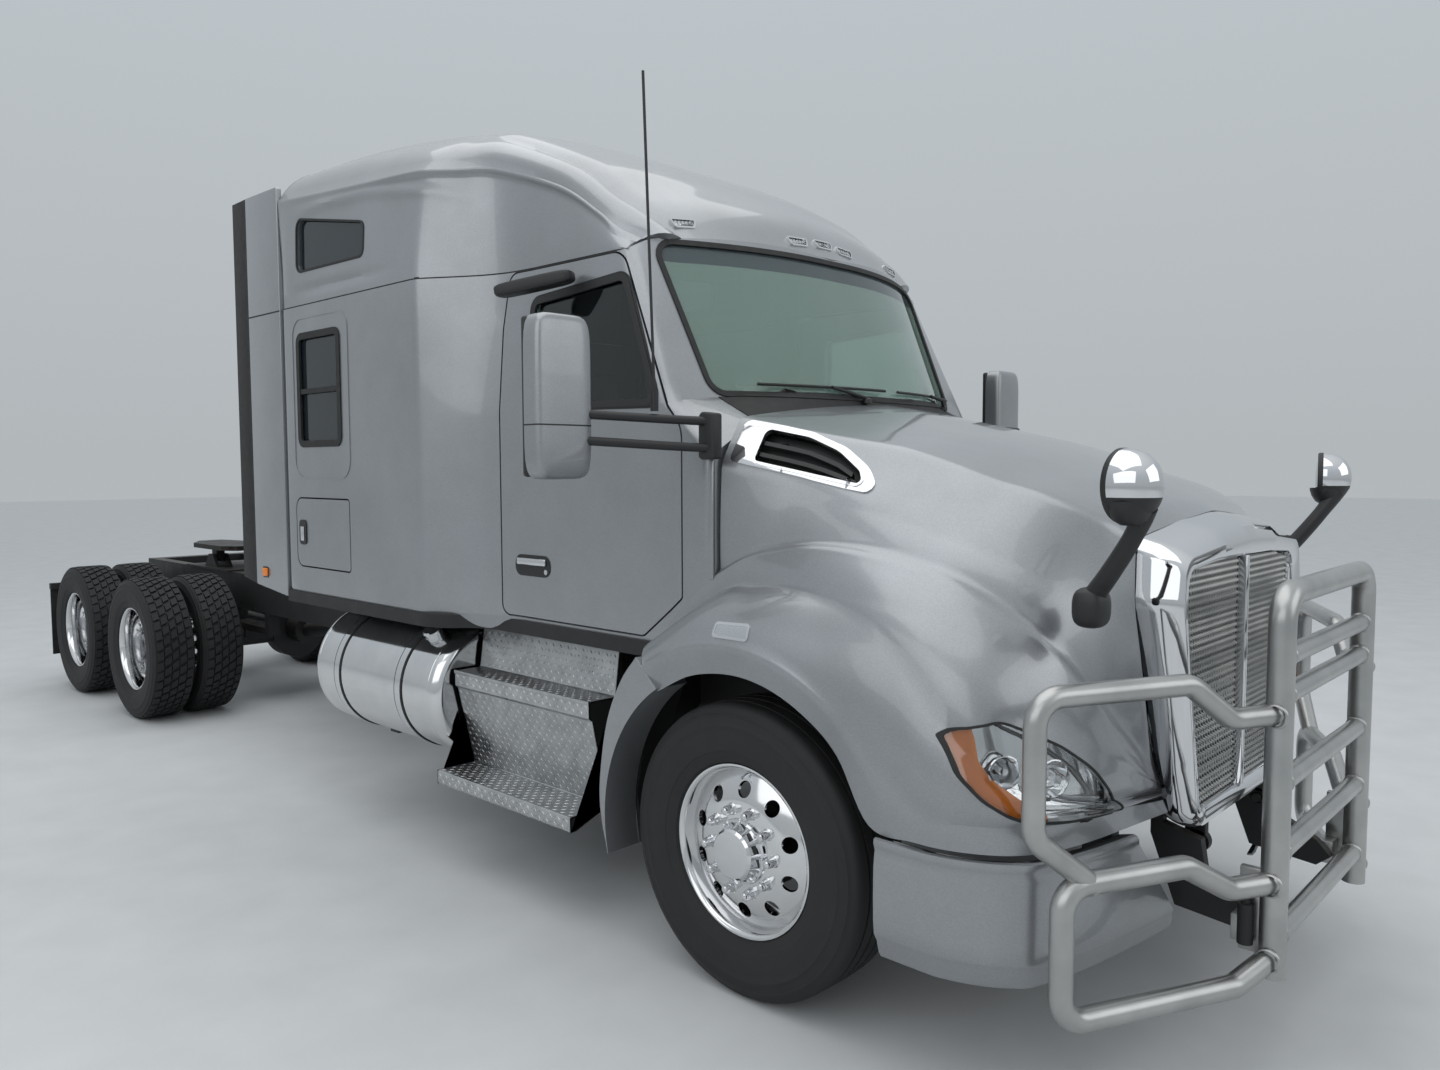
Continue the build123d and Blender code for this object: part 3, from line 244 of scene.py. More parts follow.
def facing_out(part):
    bm = to_bmesh(part)
    bmesh.ops.recalc_face_normals(bm, faces=bm.faces)
    return from_bmesh(bm)


def facing(surface, direction):
    """An open sheet, turned over if its middle face looks away from a direction."""
    a, b, c = surface.points[list(surface.faces[len(surface.faces) // 2][:3])]
    if np.cross(b - a, c - b) @ np.array(direction) < 0:
        surface.faces = [face[::-1] for face in surface.faces]
    return surface


def turned_profile(profile, axis, steps, centre=(0, 0, 0)):
    """A lathe: points (along the axis, radius) turned about the axis through centre."""
    profile = np.asarray(profile, float)
    rows = []
    for angle in np.radians(np.linspace(0, 360, steps, endpoint=False)):
        along, a, b = profile[:, 0], profile[:, 1] * math.cos(angle), profile[:, 1] * math.sin(angle)
        rows.append(np.stack({"X": (along, a, b), "Y": (b, along, a), "Z": (a, b, along)}[axis], axis=1))
    return welded(moved(sheet(rows + rows[:1]), *centre))


def curve_through(points, steps=6):
    """A smooth line through points: cubic runs, whose slope at a point comes from the points on both sides of it."""
    points = np.asarray(points, float)
    padded = np.concatenate([2 * points[:1] - points[1:2], points, 2 * points[-1:] - points[-2:-1]])
    line = []
    for i in range(len(points) - 1):
        a, b, c, d = padded[i:i + 4]
        for t in np.arange(steps) / steps:
            line.append(0.5 * (2 * b + (c - a) * t + (2 * a - 5 * b + 4 * c - d) * t ** 2
                               + (3 * b - a - 3 * c + d) * t ** 3))
    line.append(points[-1])
    return np.array(line)


def rounded(points, radius, steps=6, closed=True):
    """A line of straight runs with its corners rounded. radius is one value or one for each corner."""
    points = np.asarray(points, float)
    count = len(points)
    radii = np.broadcast_to(radius, count)
    line = []
    for i in range(count):
        if not closed and i in (0, count - 1):
            line.append(points[i])
            continue
        before, here, after = points[i - 1], points[i], points[(i + 1) % count]
        a, b = before - here, after - here
        la, lb = np.linalg.norm(a), np.linalg.norm(b)
        half = math.acos(np.clip(a @ b / (la * lb), -1, 1)) / 2
        if radii[i] <= 0 or half > math.radians(89.9):
            line.append(here)
            continue
        reach = min(radii[i] / math.tan(half), 0.49 * la, 0.49 * lb)
        start, end, weight = here + a / la * reach, here + b / lb * reach, math.sin(half)
        for t in np.linspace(0, 1, steps + 1):
            w0, w1, w2 = (1 - t) ** 2, 2 * weight * t * (1 - t), t ** 2
            line.append((w0 * start + w1 * here + w2 * end) / (w0 + w1 + w2))
    return np.array(line)


def rectangle(a0, a1, b0, b1, radius):
    """A rectangle with rounded corners. radius is one value or one for each corner, from (a0, b0) along b."""
    return rounded(((a0, b0), (a0, b1), (a1, b1), (a1, b0)), radius)


def pipe(path, radius, sides):
    """A round bar along a path. radius is one value or one for each point."""
    path = np.asarray(path, float)
    radii = np.broadcast_to(radius, len(path))
    tangents = np.gradient(path, axis=0)
    tangents /= np.linalg.norm(tangents, axis=1)[:, None]
    up = np.array([0.0, 0.0, 1.0]) if abs(tangents[0][2]) < 0.9 else np.array([0.0, 1.0, 0.0])
    rows = []
    angles = np.linspace(0, 2 * math.pi, sides, endpoint=False)
    for point, tangent, r in zip(path, tangents, radii):
        side = np.cross(tangent, up)
        side /= np.linalg.norm(side)
        up = np.cross(side, tangent)
        rows.append([point + r * (math.cos(a) * side + math.sin(a) * up) for a in angles])
    return sheet(rows, ring=True, capped=True)

# %% [markdown]
# ## From parts to pieces
# A piece is one object that rides on one body of the truck. Edges sharper than about 30 degrees are marked sharp
# and all faces are smooth, which is how a real panel looks: soft over its curves and crisp along its folds.

# %% Make an object from parts and their finishes
def piece(name, body, contents, replaces=(), crease=32):
    """contents is a list of (part, ..., finish), where a finish is a material or a list of materials by mark."""
    materials, parts, indices = [], [], []
    for *group, finish in contents:
        finishes = finish if isinstance(finish, list) else [finish]
        materials += [item for item in finishes if item not in materials]
        for part in group:
            parts.append(part)
            indices += [materials.index(finishes[min(mark, len(finishes) - 1)]) for mark in part.marks]
    whole = moved(joined(*parts), y=AXLE_Y)
    mesh = bpy.data.meshes.new(name)
    mesh.from_pydata([tuple(p) for p in whole.points], [], whole.faces)
    for item in materials:
        mesh.materials.append(item)
    mesh.polygons.foreach_set("material_index", indices)
    mesh.validate()
    mesh.shade_smooth()
    mesh.set_sharp_from_angle(angle=math.radians(crease))
    made = bpy.data.objects.new(name, mesh)
    bpy.context.scene.collection.objects.link(made)
    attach(made, body)
    if replaces:
        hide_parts(*([replaces] if isinstance(replaces, str) else replaces))
    print(name, len(mesh.polygons), "faces on", body)
    return made

# %% [markdown]
# ## Camera, floor and light
# The picture was taken from the front right, a little above a person's eyes, with a phone's wide lens. Its place was
# worked out from the wheels and the sleeper's edges, and is given from the steer axle like everything else.

# %% The camera
CAMERA_PLACE = (-3.7113, -2.3366, 1.8116)
CAMERA_YAW, CAMERA_PITCH, CAMERA_ROLL = 46.586, 3.785, -0.174
SENSOR_W = 36.0
IMAGE_W, FOCAL_PIXELS = 1440, 1047.64

camera_data = bpy.data.cameras.new("photo_camera")
camera_data.sensor_width = SENSOR_W
camera_data.lens = FOCAL_PIXELS / IMAGE_W * SENSOR_W
camera_data.clip_end = 300
camera = bpy.data.objects.new("photo_camera", camera_data)
aim = Matrix.Rotation(math.radians(-CAMERA_YAW), 3, "Z") @ Matrix.Rotation(math.radians(90 - CAMERA_PITCH), 3, "X")
aim = aim @ Matrix.Rotation(math.radians(CAMERA_ROLL), 3, "Z")
camera.matrix_world = Matrix.Translation(Vector(CAMERA_PLACE) + Vector((0, AXLE_Y, 0))) @ aim.to_4x4()
bpy.context.scene.collection.objects.link(camera)
bpy.context.scene.camera = camera
bpy.context.scene.view_settings.view_transform = "Standard"
print("lens", round(camera_data.lens, 2), "mm")

# %% [markdown]
# ## Colours and nodes
# Colours are written as a painter's hex values, which are meant for a screen, and the renderer needs them linear.
# One small function adds a node with its settings and links and gives its output, so that a material reads as a list
# of what it does. A pattern's scale is 1000 divided by its size in mm: smears and dust lie in clouds of 30 mm (scale
# 30) to 600 mm (scale 1.6), scratches and pores are 4 and 6 mm, and finer patterns have their size beside them.

# %% Helpers for materials
def linear(hex_colour):
    values = [int(hex_colour[i:i + 2], 16) / 255 for i in (1, 3, 5)]
    return tuple(v / 12.92 if v <= 0.04045 else ((v + 0.055) / 1.055) ** 2.4 for v in values) + (1.0,)


def feed(node, **inputs):
    """Give inputs of a node a value or a socket to link. They are named with _ for a space, or as i0, i1 by place."""
    for name, value in inputs.items():
        place = int(name[1:]) if name[0] == "i" and name[1:].isdigit() else name.replace("_", " ")
        if isinstance(value, bpy.types.NodeSocket):
            node.id_data.links.new(value, node.inputs[place])
        else:
            node.inputs[place].default_value = value


def add(tree, kind, output=0, stops=(), settings=None, **inputs):
    """Add a node with its settings and links, and give one output. stops are a ramp's (position, colour) pairs."""
    node = tree.nodes.new("ShaderNode" + kind)
    for name, value in (settings or {}).items():
        setattr(node, name, value)
    for _ in stops[2:]:
        node.color_ramp.elements.new(0.5)
    for k, (position, colour) in enumerate(stops):
        node.color_ramp.elements[k].position = position
        node.color_ramp.elements[k].color = linear(colour)
    feed(node, **inputs)
    return node.outputs[output]


def new_material(name, **shader):
    """A material with one Principled shader and its constant values. Gives the material, its tree, its shader and
    the socket that says where a point lies on the object, in metres."""
    material = bpy.data.materials.new(name)
    material.use_nodes = True
    tree = material.node_tree
    surface = tree.nodes["Principled BSDF"]
    feed(surface, **shader)
    return material, tree, surface, add(tree, "TexCoord", "Object")

# %% A pale floor, and a sky of soft even light
FLOOR_SPAN = 60.0
floor = bpy.data.objects.new("studio_floor", bpy.data.meshes.new("studio_floor"))
floor.data.from_pydata([(-FLOOR_SPAN, -FLOOR_SPAN, 0), (FLOOR_SPAN, -FLOOR_SPAN, 0),
                        (FLOOR_SPAN, FLOOR_SPAN, 0), (-FLOOR_SPAN, FLOOR_SPAN, 0)], [], [(0, 1, 2, 3)])
bpy.context.scene.collection.objects.link(floor)
floor_paint, tree, surface, place = new_material("pale_studio_floor", Roughness=0.75)
cloud = add(tree, "TexNoise", Vector=place, Scale=3.0, Detail=4.0)
feed(surface, Base_Color=add(tree, "ValToRGB", Fac=cloud, stops=((0.3, "#C6C8C9"), (0.7, "#CDCFD0"))))
floor.data.materials.append(floor_paint)

world = bpy.data.worlds.new("soft_studio")
bpy.context.scene.world = world
world.use_nodes = True
tree = world.node_tree
height = add(tree, "SeparateXYZ", "Z", Vector=add(tree, "TexCoord", "Generated"))
lift = add(tree, "MapRange", Value=height, From_Min=-0.1)
sky = add(tree, "ValToRGB", Fac=lift,
          stops=((0.0, "#B4B8BA"), (0.10, "#B2B7BA"), (0.45, "#BDC4C9"), (1.0, "#E6EAED")))
feed(tree.nodes["Background"], Color=sky, Strength=1.0)

# %% Soft lamps: a broad sheet overhead, one ahead of the truck and one on the camera's side
def softbox(name, place, target, width, height, watts):
    data = bpy.data.lights.new(name, "AREA")
    data.shape, data.size, data.size_y, data.energy = "RECTANGLE", width, height, watts
    lamp = bpy.data.objects.new(name, data)
    lamp.location = Vector(place) + Vector((0, AXLE_Y, 0))
    lamp.rotation_mode = "QUATERNION"
    lamp.rotation_quaternion = (Vector(target) - Vector(place)).to_track_quat("-Z", "Y")
    bpy.context.scene.collection.objects.link(lamp)


softbox("overhead_softbox", (-1, 2, 9), (0, 3, 0), 9, 13, 315)
softbox("front_softbox", (3, -10, 6), (0, 0, 1), 10, 6, 185)
softbox("side_softbox", (-11, 0, 6), (0, 3, 1.2), 14, 6, 230)

# %% [markdown]
# ## Silver paint
# The cab is painted: a grey base coat full of fine aluminium flakes, under a clear lacquer. The flakes give the base
# its metal look with wide soft highlights, and the lacquer adds a second, sharp and weak reflection. Real flakes are
# about 0.03 mm, far too fine to draw, so they are drawn at 2 mm as a faint grain. A slow noise adds the slight
# unevenness of road dust.

# %% Silver base coat under clear lacquer
DRAWN_FLAKE_MM = 2
silver, tree, surface, place = new_material("silver_base_coat_clear_lacquer", Metallic=0.72, Roughness=0.36,
                                            Coat_Weight=0.85, Coat_Roughness=0.05, Coat_IOR=1.5)
flake = add(tree, "RGBToBW", Color=add(tree, "TexVoronoi", "Color", Vector=place, Scale=1000 / DRAWN_FLAKE_MM))
base = add(tree, "ValToRGB", Fac=flake, stops=((0.0, "#94979B"), (0.5, "#9B9EA2"), (1.0, "#A4A7AB")))
dust = add(tree, "TexNoise", Vector=place, Scale=1.6, Detail=5.0, Roughness=0.6)
dirt = add(tree, "ValToRGB", Fac=dust, stops=((0.35, "#FFFFFF"), (0.75, "#ECEBE8")))
feed(surface, Base_Color=add(tree, "Mix", 2, settings={"data_type": "RGBA", "blend_type": "MULTIPLY"},
                             i0=1.0, i6=base, i7=dirt),
     Roughness=add(tree, "MapRange", Value=dust, From_Min=0.3, From_Max=0.8, To_Min=0.33, To_Max=0.42))

# %% [markdown]
# ## Bright metal
# Three bright metals are on the truck. Chrome plate on the grille and mirrors is an almost perfect mirror. The wheels
# and tanks are polished aluminium, a touch warmer and softer, with a haze of fine scratches. The guard is brushed
# aluminium, matt grey, with a level grain that is drawn 1.2 mm wide, coarser than real.

# %% Chrome, polished aluminium, brushed aluminium
chrome, tree, surface, place = new_material("chrome_plate", Metallic=1.0, Base_Color=linear("#DBDCDE"))
smear = add(tree, "TexNoise", Vector=place, Scale=9.0, Detail=4.0)
feed(surface, Roughness=add(tree, "MapRange", Value=smear, To_Min=0.02, To_Max=0.09))

polished, tree, surface, place = new_material("polished_aluminium", Metallic=1.0)
smear = add(tree, "TexNoise", Vector=place, Scale=6.0, Detail=6.0)
scratches = add(tree, "TexNoise", Vector=place, Scale=260.0, Detail=2.0)
feed(surface, Base_Color=add(tree, "ValToRGB", Fac=smear, stops=((0.3, "#D5D6D8"), (0.7, "#E2E2E2"))),
     Roughness=add(tree, "MapRange", Value=smear, To_Min=0.06, To_Max=0.16),
     Normal=add(tree, "Bump", Strength=0.03, Distance=0.001, Height=scratches))

GRAIN_MM = 1.2
brushed, tree, surface, place = new_material("brushed_aluminium_tube", Metallic=0.9)
stretch = add(tree, "Mapping", Vector=place, Scale=(20.0, 60.0, 1000 / GRAIN_MM))
grain = add(tree, "TexNoise", Vector=stretch, Scale=1.0, Detail=3.0)
cloud = add(tree, "TexNoise", Vector=place, Scale=7.0, Detail=5.0)
feed(surface, Base_Color=add(tree, "ValToRGB", Fac=cloud, stops=((0.3, "#A6A7A6"), (0.7, "#B8B8B6"))),
     Roughness=add(tree, "MapRange", Value=grain, To_Min=0.24, To_Max=0.40),
     Normal=add(tree, "Bump", Strength=0.12, Distance=0.0006, Height=grain))

# %% [markdown]
# ## Black and dark finishes
# Frame rails and axles are sprayed with black chassis paint, half gloss, with brown road dust on what faces up.
# Mirror arms and the cowl are grained ABS. Tyres are rubber, nearly matt, greyer where they have scrubbed. The
# fifth wheel is cast steel under old grease.

# %% Chassis paint, moulded plastic, rubber, cast steel
chassis_paint, tree, surface, place = new_material("black_chassis_paint", Roughness=0.5)
grime = add(tree, "TexNoise", Vector=place, Scale=5.0, Detail=8.0, Roughness=0.65)
facing_up = add(tree, "SeparateXYZ", "Z", Vector=add(tree, "NewGeometry", "Normal"))
dusty = add(tree, "Math", settings={"operation": "MULTIPLY"}, i0=grime, i1=facing_up)
feed(surface, Base_Color=add(tree, "ValToRGB", Fac=dusty, stops=((0.1, "#1B1B1C"), (0.7, "#4A4641"))),
     Roughness=add(tree, "MapRange", Value=grime, To_Min=0.35, To_Max=0.75),
     Normal=add(tree, "Bump", Strength=0.15, Distance=0.001, Height=grime))

PLASTIC_GRAIN_MM = 0.8
plastic, tree, surface, place = new_material("grained_black_abs", Roughness=0.46)
cells = add(tree, "TexVoronoi", Vector=place, Scale=1000 / PLASTIC_GRAIN_MM)
feed(surface, Base_Color=add(tree, "ValToRGB", Fac=cells, stops=((0.0, "#232425"), (1.0, "#191A1A"))),
     Normal=add(tree, "Bump", Strength=0.2, Distance=0.0003, Height=cells))

rubber, tree, surface, place = new_material("black_epdm_rubber", Roughness=0.62)
bloom = add(tree, "TexNoise", Vector=place, Scale=30.0, Detail=4.0)
feed(surface, Base_Color=add(tree, "ValToRGB", Fac=bloom, stops=((0.3, "#151515"), (0.8, "#262626"))))

tyre_rubber, tree, surface, place = new_material("tyre_rubber", Roughness=0.7)
scrub = add(tree, "TexNoise", Vector=place, Scale=11.0, Detail=6.0, Roughness=0.6)
pores = add(tree, "TexNoise", Vector=place, Scale=180.0)
colour = add(tree, "ValToRGB", Fac=scrub, stops=((0.25, "#161617"), (0.7, "#242425"), (0.9, "#35322F")))
feed(surface, Base_Color=colour, Roughness=add(tree, "MapRange", Value=scrub, To_Min=0.55, To_Max=0.85),
     Normal=add(tree, "Bump", Strength=0.12, Distance=0.002, Height=pores))

cast_steel, tree, surface, place = new_material("greased_cast_steel", Metallic=0.8)
smear = add(tree, "TexNoise", Vector=place, Scale=12.0, Detail=7.0)
colour = add(tree, "ValToRGB", Fac=smear, stops=((0.3, "#1D1B19"), (0.6, "#3A3733"), (0.8, "#57524B")))
feed(surface, Base_Color=colour, Roughness=add(tree, "MapRange", Value=smear, To_Min=0.25, To_Max=0.7))

# %% [markdown]
# ## Glass and lamp lenses
# The windshield and door panes are laminated or toughened glass, thin and slightly green. The windshield lets only
# part of the light through, and its pale green base colour shows as a painted reflection: a haze laid over the glass.
# The sleeper's panes are dark privacy glass. Lamp lenses are clear polycarbonate, amber where it is coloured through.

# %% Panes and lenses
def clear_material(name, tint, roughness=0.02, ior=1.5, transmission=1.0):
    material, tree, surface, place = new_material(name, Roughness=roughness, IOR=ior,
                                                  Transmission_Weight=transmission)
    film = add(tree, "TexNoise", Vector=place, Scale=4.0, Detail=3.0)
    darker = tuple(v * 0.93 for v in linear(tint)[:3]) + (1.0,)
    feed(surface, Base_Color=add(tree, "Mix", 2, settings={"data_type": "RGBA"}, i0=film, i6=linear(tint), i7=darker))
    return material


# About a quarter of the windshield is diffuse, so its pale green base colour is a painted reflection haze over the
# glass.
windshield_glass_painted_reflection = clear_material("laminated_green_glass_painted_reflection", "#B9D3C8", transmission=0.72)
tint_band_glass = clear_material("windshield_tint_band", "#6E7C80", transmission=0.6)
door_glass = clear_material("toughened_glass", "#8E9C98")
privacy_glass = clear_material("privacy_glass", "#46525A", roughness=0.03, transmission=0.75)
clear_lens = clear_material("clear_polycarbonate", "#F4F6F6", ior=1.58)
amber_lens = clear_material("amber_polycarbonate", "#FF8A12", roughness=0.10, ior=1.58, transmission=0.15)

# %% [markdown]
# ## Cab trim
# Inside, the walls are padded grey vinyl, the dashboard is a darker moulded skin and the seats are woven cloth.
# Little of it shows through the glass, so the patterns are drawn larger than the real weave.

# %% Vinyl, dashboard skin and seat cloth
def trim_material(name, dark, light, cell_mm, roughness):
    material, tree, surface, place = new_material(name, Roughness=roughness)
    cells = add(tree, "TexVoronoi", Vector=place, Scale=1000 / cell_mm)
    feed(surface, Base_Color=add(tree, "ValToRGB", Fac=cells, stops=((0.0, dark), (1.0, light))),
         Normal=add(tree, "Bump", Strength=0.12, Distance=0.0004, Height=cells))
    return material


wall_vinyl = trim_material("grey_padded_vinyl", "#6E6F6E", "#8A8B89", 2.5, 0.6)
dash_skin = trim_material("dark_moulded_skin", "#2B2C2E", "#3A3C3E", 4.0, 0.55)
seat_cloth = trim_material("woven_seat_cloth", "#35373A", "#4C4F53", 5.0, 0.85)
print("materials:", len(bpy.data.materials))

# %% [markdown]
# ## The hood and fenders
# The hood is one moulding: a nearly flat top, a slanted band beside it, darker flat sides, and two fenders that swell
# out of the sides. A sculptor could push points about, but a body like this is drawn from its feature lines: where
# the top breaks, where the side starts and ends, the fender's crest, the crisp line below it and the wheel arch.
# Each station below has one point on each of those lines. The lines are smoothed along the truck and each station's
# corners are softened by their own amount, so the folds can be crisp at the back and melt away towards the nose.

# %% A skin from stations of feature points
def skin(stations, softness, divisions, steps, bulge, smooth=True):
    """Rows of points. softness has the inner features' roundings, once for all stations or for each of them.
    divisions and bulge have the number of faces and the outward swell between each feature and the next."""
    stations = np.asarray(stations, float)
    count, features = stations.shape[:2]
    soft = np.broadcast_to(softness, (count, features - 2))
    if smooth:
        lines = np.stack([curve_through(stations[:, k], steps) for k in range(features)], axis=1)
    else:
        t = np.linspace(0, count - 1, (count - 1) * steps + 1)
        lower = np.minimum(t.astype(int), count - 2)
        share = (t - lower)[:, None, None]
        lines = stations[lower] * (1 - share) + stations[lower + 1] * share
    place = np.linspace(0, count - 1, len(lines))
    soft = np.stack([np.interp(place, range(count), soft[:, k]) for k in range(features - 2)], axis=1)
    along = np.gradient(lines, axis=0)
    bulge = [np.interp(place, range(count), np.broadcast_to(b, count)) for b in bulge]
    rows = []
    for r, corners in enumerate(lines):
        cuts = []
        for k in range(1, features - 1):
            back, on = corners[k - 1] - corners[k], corners[k + 1] - corners[k]
            lb, lo = np.linalg.norm(back), np.linalg.norm(on)
            reach = min(soft[r][k - 1], 0.45 * lb, 0.45 * lo)
            cuts.append((corners[k] + back / max(lb, 1e-9) * reach, corners[k] + on / max(lo, 1e-9) * reach))
        row, start = [], corners[0]
        for k in range(features - 1):
            end = cuts[k][0] if k < features - 2 else corners[-1]
            shares = np.linspace(0, 1, divisions[k] + 1)[:-1, None]
            run = start + (end - start) * shares
            if bulge[k][r]:
                out = np.cross(along[r][k] + along[r][k + 1], end - start)
                run += out / max(np.linalg.norm(out), 1e-9) * bulge[k][r] * 4 * shares * (1 - shares)
            row.extend(run)
            if k < features - 2:
                corner, after = corners[k + 1], cuts[k][1]
                for t in np.linspace(0, 1, 6)[:-1]:
                    row.append((1 - t) ** 2 * end + 2 * t * (1 - t) * corner + t * t * after)
                start = after
        row.append(corners[-1])
        rows.append(row)
    return np.array(rows)


def both_halves(rows):
    """Rows from the centre line out to the left side, continued to the right side."""
    right = rows[:, :0:-1] * np.array([-1, 1, 1])
    return np.concatenate([right, rows], axis=1)

# %% The hood's stations, from the cowl to the grille
# Each station: crown, top edge, shoulder, foot of the side, fender crest, crisp line, arch flare, lower edge
HOOD_STATIONS = (
    ((0, .194, 2.062), (.930, .190, 1.986), (1.030, .190, 1.824), (1.034, .194, 1.440), (1.052, .235, 1.410),
     (1.066, .500, 1.165), (1.232, .400, 1.099), (1.200, .345, 1.015)),
    ((0, .060, 2.036), (.905, .050, 1.956), (1.010, .040, 1.795), (1.030, .075, 1.500), (1.051, .080, 1.490),
     (1.069, .160, 1.376), (1.235, .200, 1.192), (1.200, .180, 1.093)),
    ((0, -.080, 2.004), (.878, -.090, 1.928), (.985, -.100, 1.765), (1.025, -.060, 1.538), (1.050, -.060, 1.526),
     (1.079, -.030, 1.411), (1.235, .000, 1.220), (1.200, .000, 1.120)),
    ((0, -.250, 1.963), (.845, -.255, 1.898), (.968, -.250, 1.732), (1.022, -.220, 1.560), (1.050, -.220, 1.546),
     (1.096, -.200, 1.417), (1.235, -.180, 1.197), (1.200, -.165, 1.098)),
    ((0, -.420, 1.918), (.798, -.410, 1.870), (.950, -.400, 1.696), (1.017, -.385, 1.556), (1.047, -.380, 1.541),
     (1.118, -.370, 1.402), (1.235, -.350, 1.129), (1.200, -.320, 1.031)),
    ((0, -.580, 1.868), (.763, -.570, 1.820), (.918, -.560, 1.652), (1.005, -.550, 1.530), (1.038, -.550, 1.514),
     (1.148, -.540, 1.370), (1.235, -.490, 1.027), (1.200, -.445, .932)),
    ((0, -.740, 1.815), (.735, -.720, 1.766), (.875, -.720, 1.602), (.978, -.715, 1.482), (1.013, -.720, 1.464),
     (1.175, -.710, 1.306), (1.235, -.620, .870), (1.205, -.567, .747)),
    ((0, -.880, 1.766), (.710, -.850, 1.728), (.820, -.855, 1.545), (.932, -.860, 1.395), (.966, -.870, 1.374),
     (1.188, -.860, 1.203), (1.233, -.760, .800), (1.228, -.740, .745)),
    ((0, -.985, 1.722), (.675, -.940, 1.691), (.762, -.945, 1.500), (.868, -.972, 1.292), (.900, -.990, 1.266),
     (1.138, -.965, 1.095), (1.207, -.885, .800), (1.203, -.880, .745)),
    ((0, -1.050, 1.693), (.635, -1.005, 1.655), (.690, -1.020, 1.455), (.766, -1.036, 1.175), (.800, -1.056, 1.146),
     (1.020, -1.050, 1.000), (1.115, -1.015, .800), (1.112, -1.010, .745)),
    ((0, -1.090, 1.672), (.598, -1.050, 1.618), (.640, -1.068, 1.420), (.652, -1.080, 1.045), (.680, -1.096, 1.014),
     (.820, -1.115, .910), (.930, -1.095, .800), (.927, -1.090, .745)),
    ((0, -1.118, 1.656), (.568, -1.085, 1.588), (.606, -1.100, 1.400), (.522, -1.128, .900), (.511, -1.137, .860),
     (.500, -1.142, .822), (.486, -1.152, .785), (.474, -1.166, .745)),
)
# Rounding at top edge, shoulder, foot of the side, fender crest, crisp line and flare, for each station
HOOD_SOFTNESS = [(.03, .035, .014, .016, .008, .02)] * 4 + [
    (.03, .035, .014, .016, .010, .02), (.03, .04, .014, .018, .03, .03), (.03, .05, .014, .020, .08, .04),
    (.03, .06, .016, .022, .16, .12), (.03, .06, .018, .024, .3, .2), (.03, .06, .02, .03, .3, .3),
    (.03, .05, .02, .03, .3, .3), (.03, .05, .02, .03, .1, .1)]
hood_rows = both_halves(skin(HOOD_STATIONS, HOOD_SOFTNESS, (14, 4, 8, 3, 6, 9, 4), steps=7,
                             bulge=(.012, 0, .004, 0, .004, .024, 0)))
hood_surface = facing(sheet(hood_rows), (0, 0, 1))
print("hood skin", hood_rows.shape)

# %% [markdown]
# ## Cutting openings in a skin
# Lamps, intakes, doors and windows are cut out of the skins before these get their thickness, as a press shop would.
# Each edge of the opening's outline slices the faces near it with a plane, and then the faces inside the outline
# are taken away, or kept as a panel of their own. A boolean could cut them too, but leaves a rougher edge.

# %% Slice a skin along an outline
def inside(outline, a, b):
    """Whether the point (a, b) lies inside the closed outline."""
    hit = False
    for (a0, b0), (a1, b1) in zip(outline, np.roll(outline, -1, axis=0)):
        if (b0 > b) != (b1 > b) and a < (a1 - a0) * (b - b0) / (b1 - b0) + a0:
            hit = not hit
    return hit


def sliced(part, outline, across, where, keep):
    """Cut the part along an outline seen along one axis, where a test of the face's centre holds.
    keep is "outside" for a hole and "inside" for the piece that is cut out."""
    outline, margin = np.asarray(outline, float), 0.0005
    first, second = {"x": (1, 2), "y": (0, 2)}[across]
    bm = to_bmesh(part)
    low, high = outline.min(axis=0) - 4 * margin, outline.max(axis=0) + 4 * margin

    def reaches(face, low, high):
        spots = [(v.co[first], v.co[second]) for v in face.verts]
        return (max(s[0] for s in spots) >= low[0] and min(s[0] for s in spots) <= high[0]
                and max(s[1] for s in spots) >= low[1] and min(s[1] for s in spots) <= high[1])

    near = {f for f in bm.faces if where(f.calc_center_median()) and reaches(f, low, high)}
    for start, end in zip(outline, np.roll(outline, -1, axis=0)):
        run = end - start
        length = np.linalg.norm(run)
        if length < 1e-6:
            continue
        box_low, box_high = np.minimum(start, end) - margin, np.maximum(start, end) + margin
        chosen = [f for f in near if reaches(f, box_low, box_high)]
        if not chosen:
            continue
        at, normal = Vector((0, 0, 0)), Vector((0, 0, 0))
        at[first], at[second] = start
        normal[first], normal[second] = -run[1] / length, run[0] / length
        parts = set(chosen)
        for face in chosen:
            parts.update(face.edges)
            parts.update(face.verts)
        near -= set(chosen)
        result = bmesh.ops.bisect_plane(bm, geom=list(parts), dist=1e-6, plane_co=at, plane_no=normal)
        near |= {g for g in result["geom"] if isinstance(g, bmesh.types.BMFace)}
    centres = {face: face.calc_center_median() for face in near if face.is_valid}
    within = {face for face, centre in centres.items() if inside(outline, centre[first], centre[second])}
    gone = [f for f in bm.faces if (f in within) == (keep == "outside")]
    bmesh.ops.delete(bm, geom=gone, context="FACES")
    return from_bmesh(bm)


def beyond(side, x, ahead_of=math.inf):
    """A test for faces further out than x on one side, and ahead of a place along the truck."""
    return lambda c: side * c.x > x and c.y < ahead_of


def anywhere(c):
    return True


